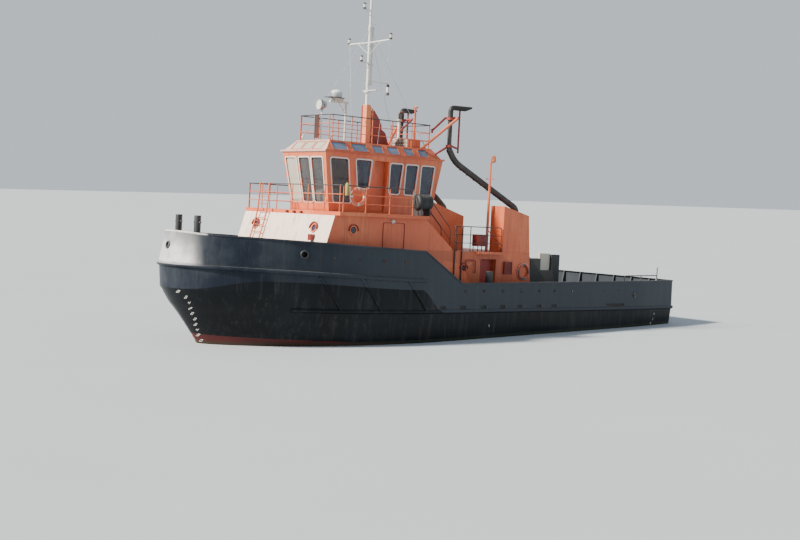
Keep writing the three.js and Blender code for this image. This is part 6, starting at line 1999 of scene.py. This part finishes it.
class TUG_OT_deck_gear(PieceOperator):
    """Towing winch, capstan, mooring posts and the hatch lid"""

    bl_idname, bl_label = "tug.deck_gear", "Deck gear"

    def make(self, colours, sizes):
        dress(("winch_frame",), PAINT["dark"], 0.008)
        dress(("winch_panel",), PAINT["cream"], 0.012)
        dress(("hatch_lid",), PAINT["dark"], 0.006)
        drum, lays = winch_drum_parts()
        piece("towing_drum", drum, PAINT["dark"], body="winch_drum_body",
              stands_for=["winch_drum"], bevel=0.004)
        piece("towing_wire", lays, PAINT["wire"], body="winch_drum_body", smooth=60)
        piece("capstan_drum", capstan_parts(), PAINT["dark"], body="capstan_body",
              stands_for=["capstan"])
        base = turned([(0, 0), (0.33, 0), (0.33, 0.22), (0.32, 0.26), (0.3, 0.27), (0.12, 0.272),
                       (0.12, 0.2775), (0, 0.2775)], (CAPSTAN[0], 0, 2.88), sides=40)
        piece("capstan_foot", [base], PAINT["dark"], stands_for=["capstan_base"])
        piece("bow_posts", bow_bitt_parts(), PAINT["dark"], stands_for=["bow_bitts"])
        for name, side in SIDES:
            piece(name + "_mooring_posts", side_bitt_parts(side), PAINT["dark"],
                  stands_for=[name + "_bitts"])


class TUG_OT_running_gear(PieceOperator):
    """Propellers and rudders"""

    bl_idname, bl_label = "tug.running_gear", "Propellers and rudders"

    def make(self, colours, sizes):
        for name, side in SIDES:
            piece(name + "_screw", propeller_parts(side), PAINT["bronze"],
                  body=name + "_propeller_body", stands_for=[name + "_propeller"], smooth=50)
            piece(name + "_rudder_blade", rudder_parts(side), PAINT["antifouling"],
                  body=name + "_rudder_body", stands_for=[name + "_rudder"])


CAMERA = {"place": (36.438, 41.642, 5.223), "yaw": -2.26982996, "pitch": -0.0461730973, "roll": 0.0495394382,
          "lens": 54.3}


class TUG_OT_stage(PieceOperator):
    """Pale floor at the water's height, soft studio light and the camera"""

    bl_idname, bl_label = "tug.stage", "Stage"

    def make(self, colours, sizes):
        scene = bpy.context.scene
        reach = 900.0
        corners = np.array([[(x, y, water(x)) for x in (-reach, reach)] for y in (-reach, reach)])
        floor = bpy.data.objects.new("floor", mesh_of("floor", grid(corners)))
        scene.collection.objects.link(floor)
        floor.data.materials.append(finish_material("pale_floor", lambda t: {
            "Base Color": t.mix(t.noise(t.place(), 0.15), (0.34, 0.385, 0.43, 1.0), (0.37, 0.415, 0.46, 1.0))},
            Roughness=0.85))
        world = bpy.data.worlds.new("studio")
        scene.world = world
        world.use_nodes = True
        world.node_tree.nodes["Background"].inputs["Color"].default_value = (0.84, 0.92, 1.0, 1.0)
        world.node_tree.nodes["Background"].inputs["Strength"].default_value = 0.75
        key = bpy.data.lights.new("key", "SUN")
        key.energy, key.angle, key.color = 12.0, math.radians(6), (1.0, 0.9, 0.76)
        lamp = bpy.data.objects.new("key", key)
        scene.collection.objects.link(lamp)
        lamp.rotation_mode = "QUATERNION"
        towards = np.array((0.78, -0.25, 0.574))
        lamp.rotation_quaternion = Vector(towards).to_track_quat("Z", "Y")
        yaw, pitch, roll = CAMERA["yaw"], CAMERA["pitch"], CAMERA["roll"]
        ahead = np.array((math.cos(pitch) * math.cos(yaw), math.cos(pitch) * math.sin(yaw), math.sin(pitch)))
        right = np.cross(ahead, (0, 0, 1.0))
        right = right / np.linalg.norm(right)
        up = np.cross(right, ahead)
        turned_right = right * math.cos(roll) + up * math.sin(roll)
        turned_up = up * math.cos(roll) - right * math.sin(roll)
        data = bpy.data.cameras.new("camera")
        data.lens, data.sensor_width, data.sensor_fit = CAMERA["lens"], 36.0, "HORIZONTAL"
        data.clip_start, data.clip_end = 0.5, 3000.0
        camera = bpy.data.objects.new("camera", data)
        scene.collection.objects.link(camera)
        matrix = Matrix.Identity(4)
        for column, vector in enumerate((turned_right, turned_up, -ahead, CAMERA["place"])):
            for row in range(3):
                matrix[row][column] = float(vector[row])
        camera.matrix_world = matrix
        scene.camera = camera


OPERATORS = (TUG_OT_paints, TUG_OT_hull, TUG_OT_bulwarks, TUG_OT_fenders, TUG_OT_houses, TUG_OT_wheelhouse,
             TUG_OT_doors, TUG_OT_rails, TUG_OT_rig, TUG_OT_exhausts, TUG_OT_safety, TUG_OT_deck_gear,
             TUG_OT_running_gear, TUG_OT_stage)


class TUG_PT_panel(bpy.types.Panel):
    """Lists the boat's parts with the sizes and colours they use"""

    bl_idname, bl_label = "TUG_PT_panel", "Offshore tug"
    bl_space_type, bl_region_type, bl_category = "VIEW_3D", "UI", "Tug"

    def draw(self, context):
        for settings in (context.scene.tug_sizes, context.scene.tug_colours):
            for name in settings.__annotations__:
                self.layout.prop(settings, name)
        for operator in OPERATORS:
            self.layout.operator(operator.bl_idname)


CLASSES = (TugColours, TugSizes) + OPERATORS + (TUG_PT_panel,)


def register():
    for made in CLASSES:
        bpy.utils.register_class(made)
    bpy.types.Scene.tug_colours = bpy.props.PointerProperty(type=TugColours)
    bpy.types.Scene.tug_sizes = bpy.props.PointerProperty(type=TugSizes)


def unregister():
    del bpy.types.Scene.tug_sizes
    del bpy.types.Scene.tug_colours
    for made in reversed(CLASSES):
        bpy.utils.unregister_class(made)


def main():
    register()
    for operator in OPERATORS:
        family, name = operator.bl_idname.split(".")
        getattr(getattr(bpy.ops, family), name)()


if __name__ == "__main__":
    main()
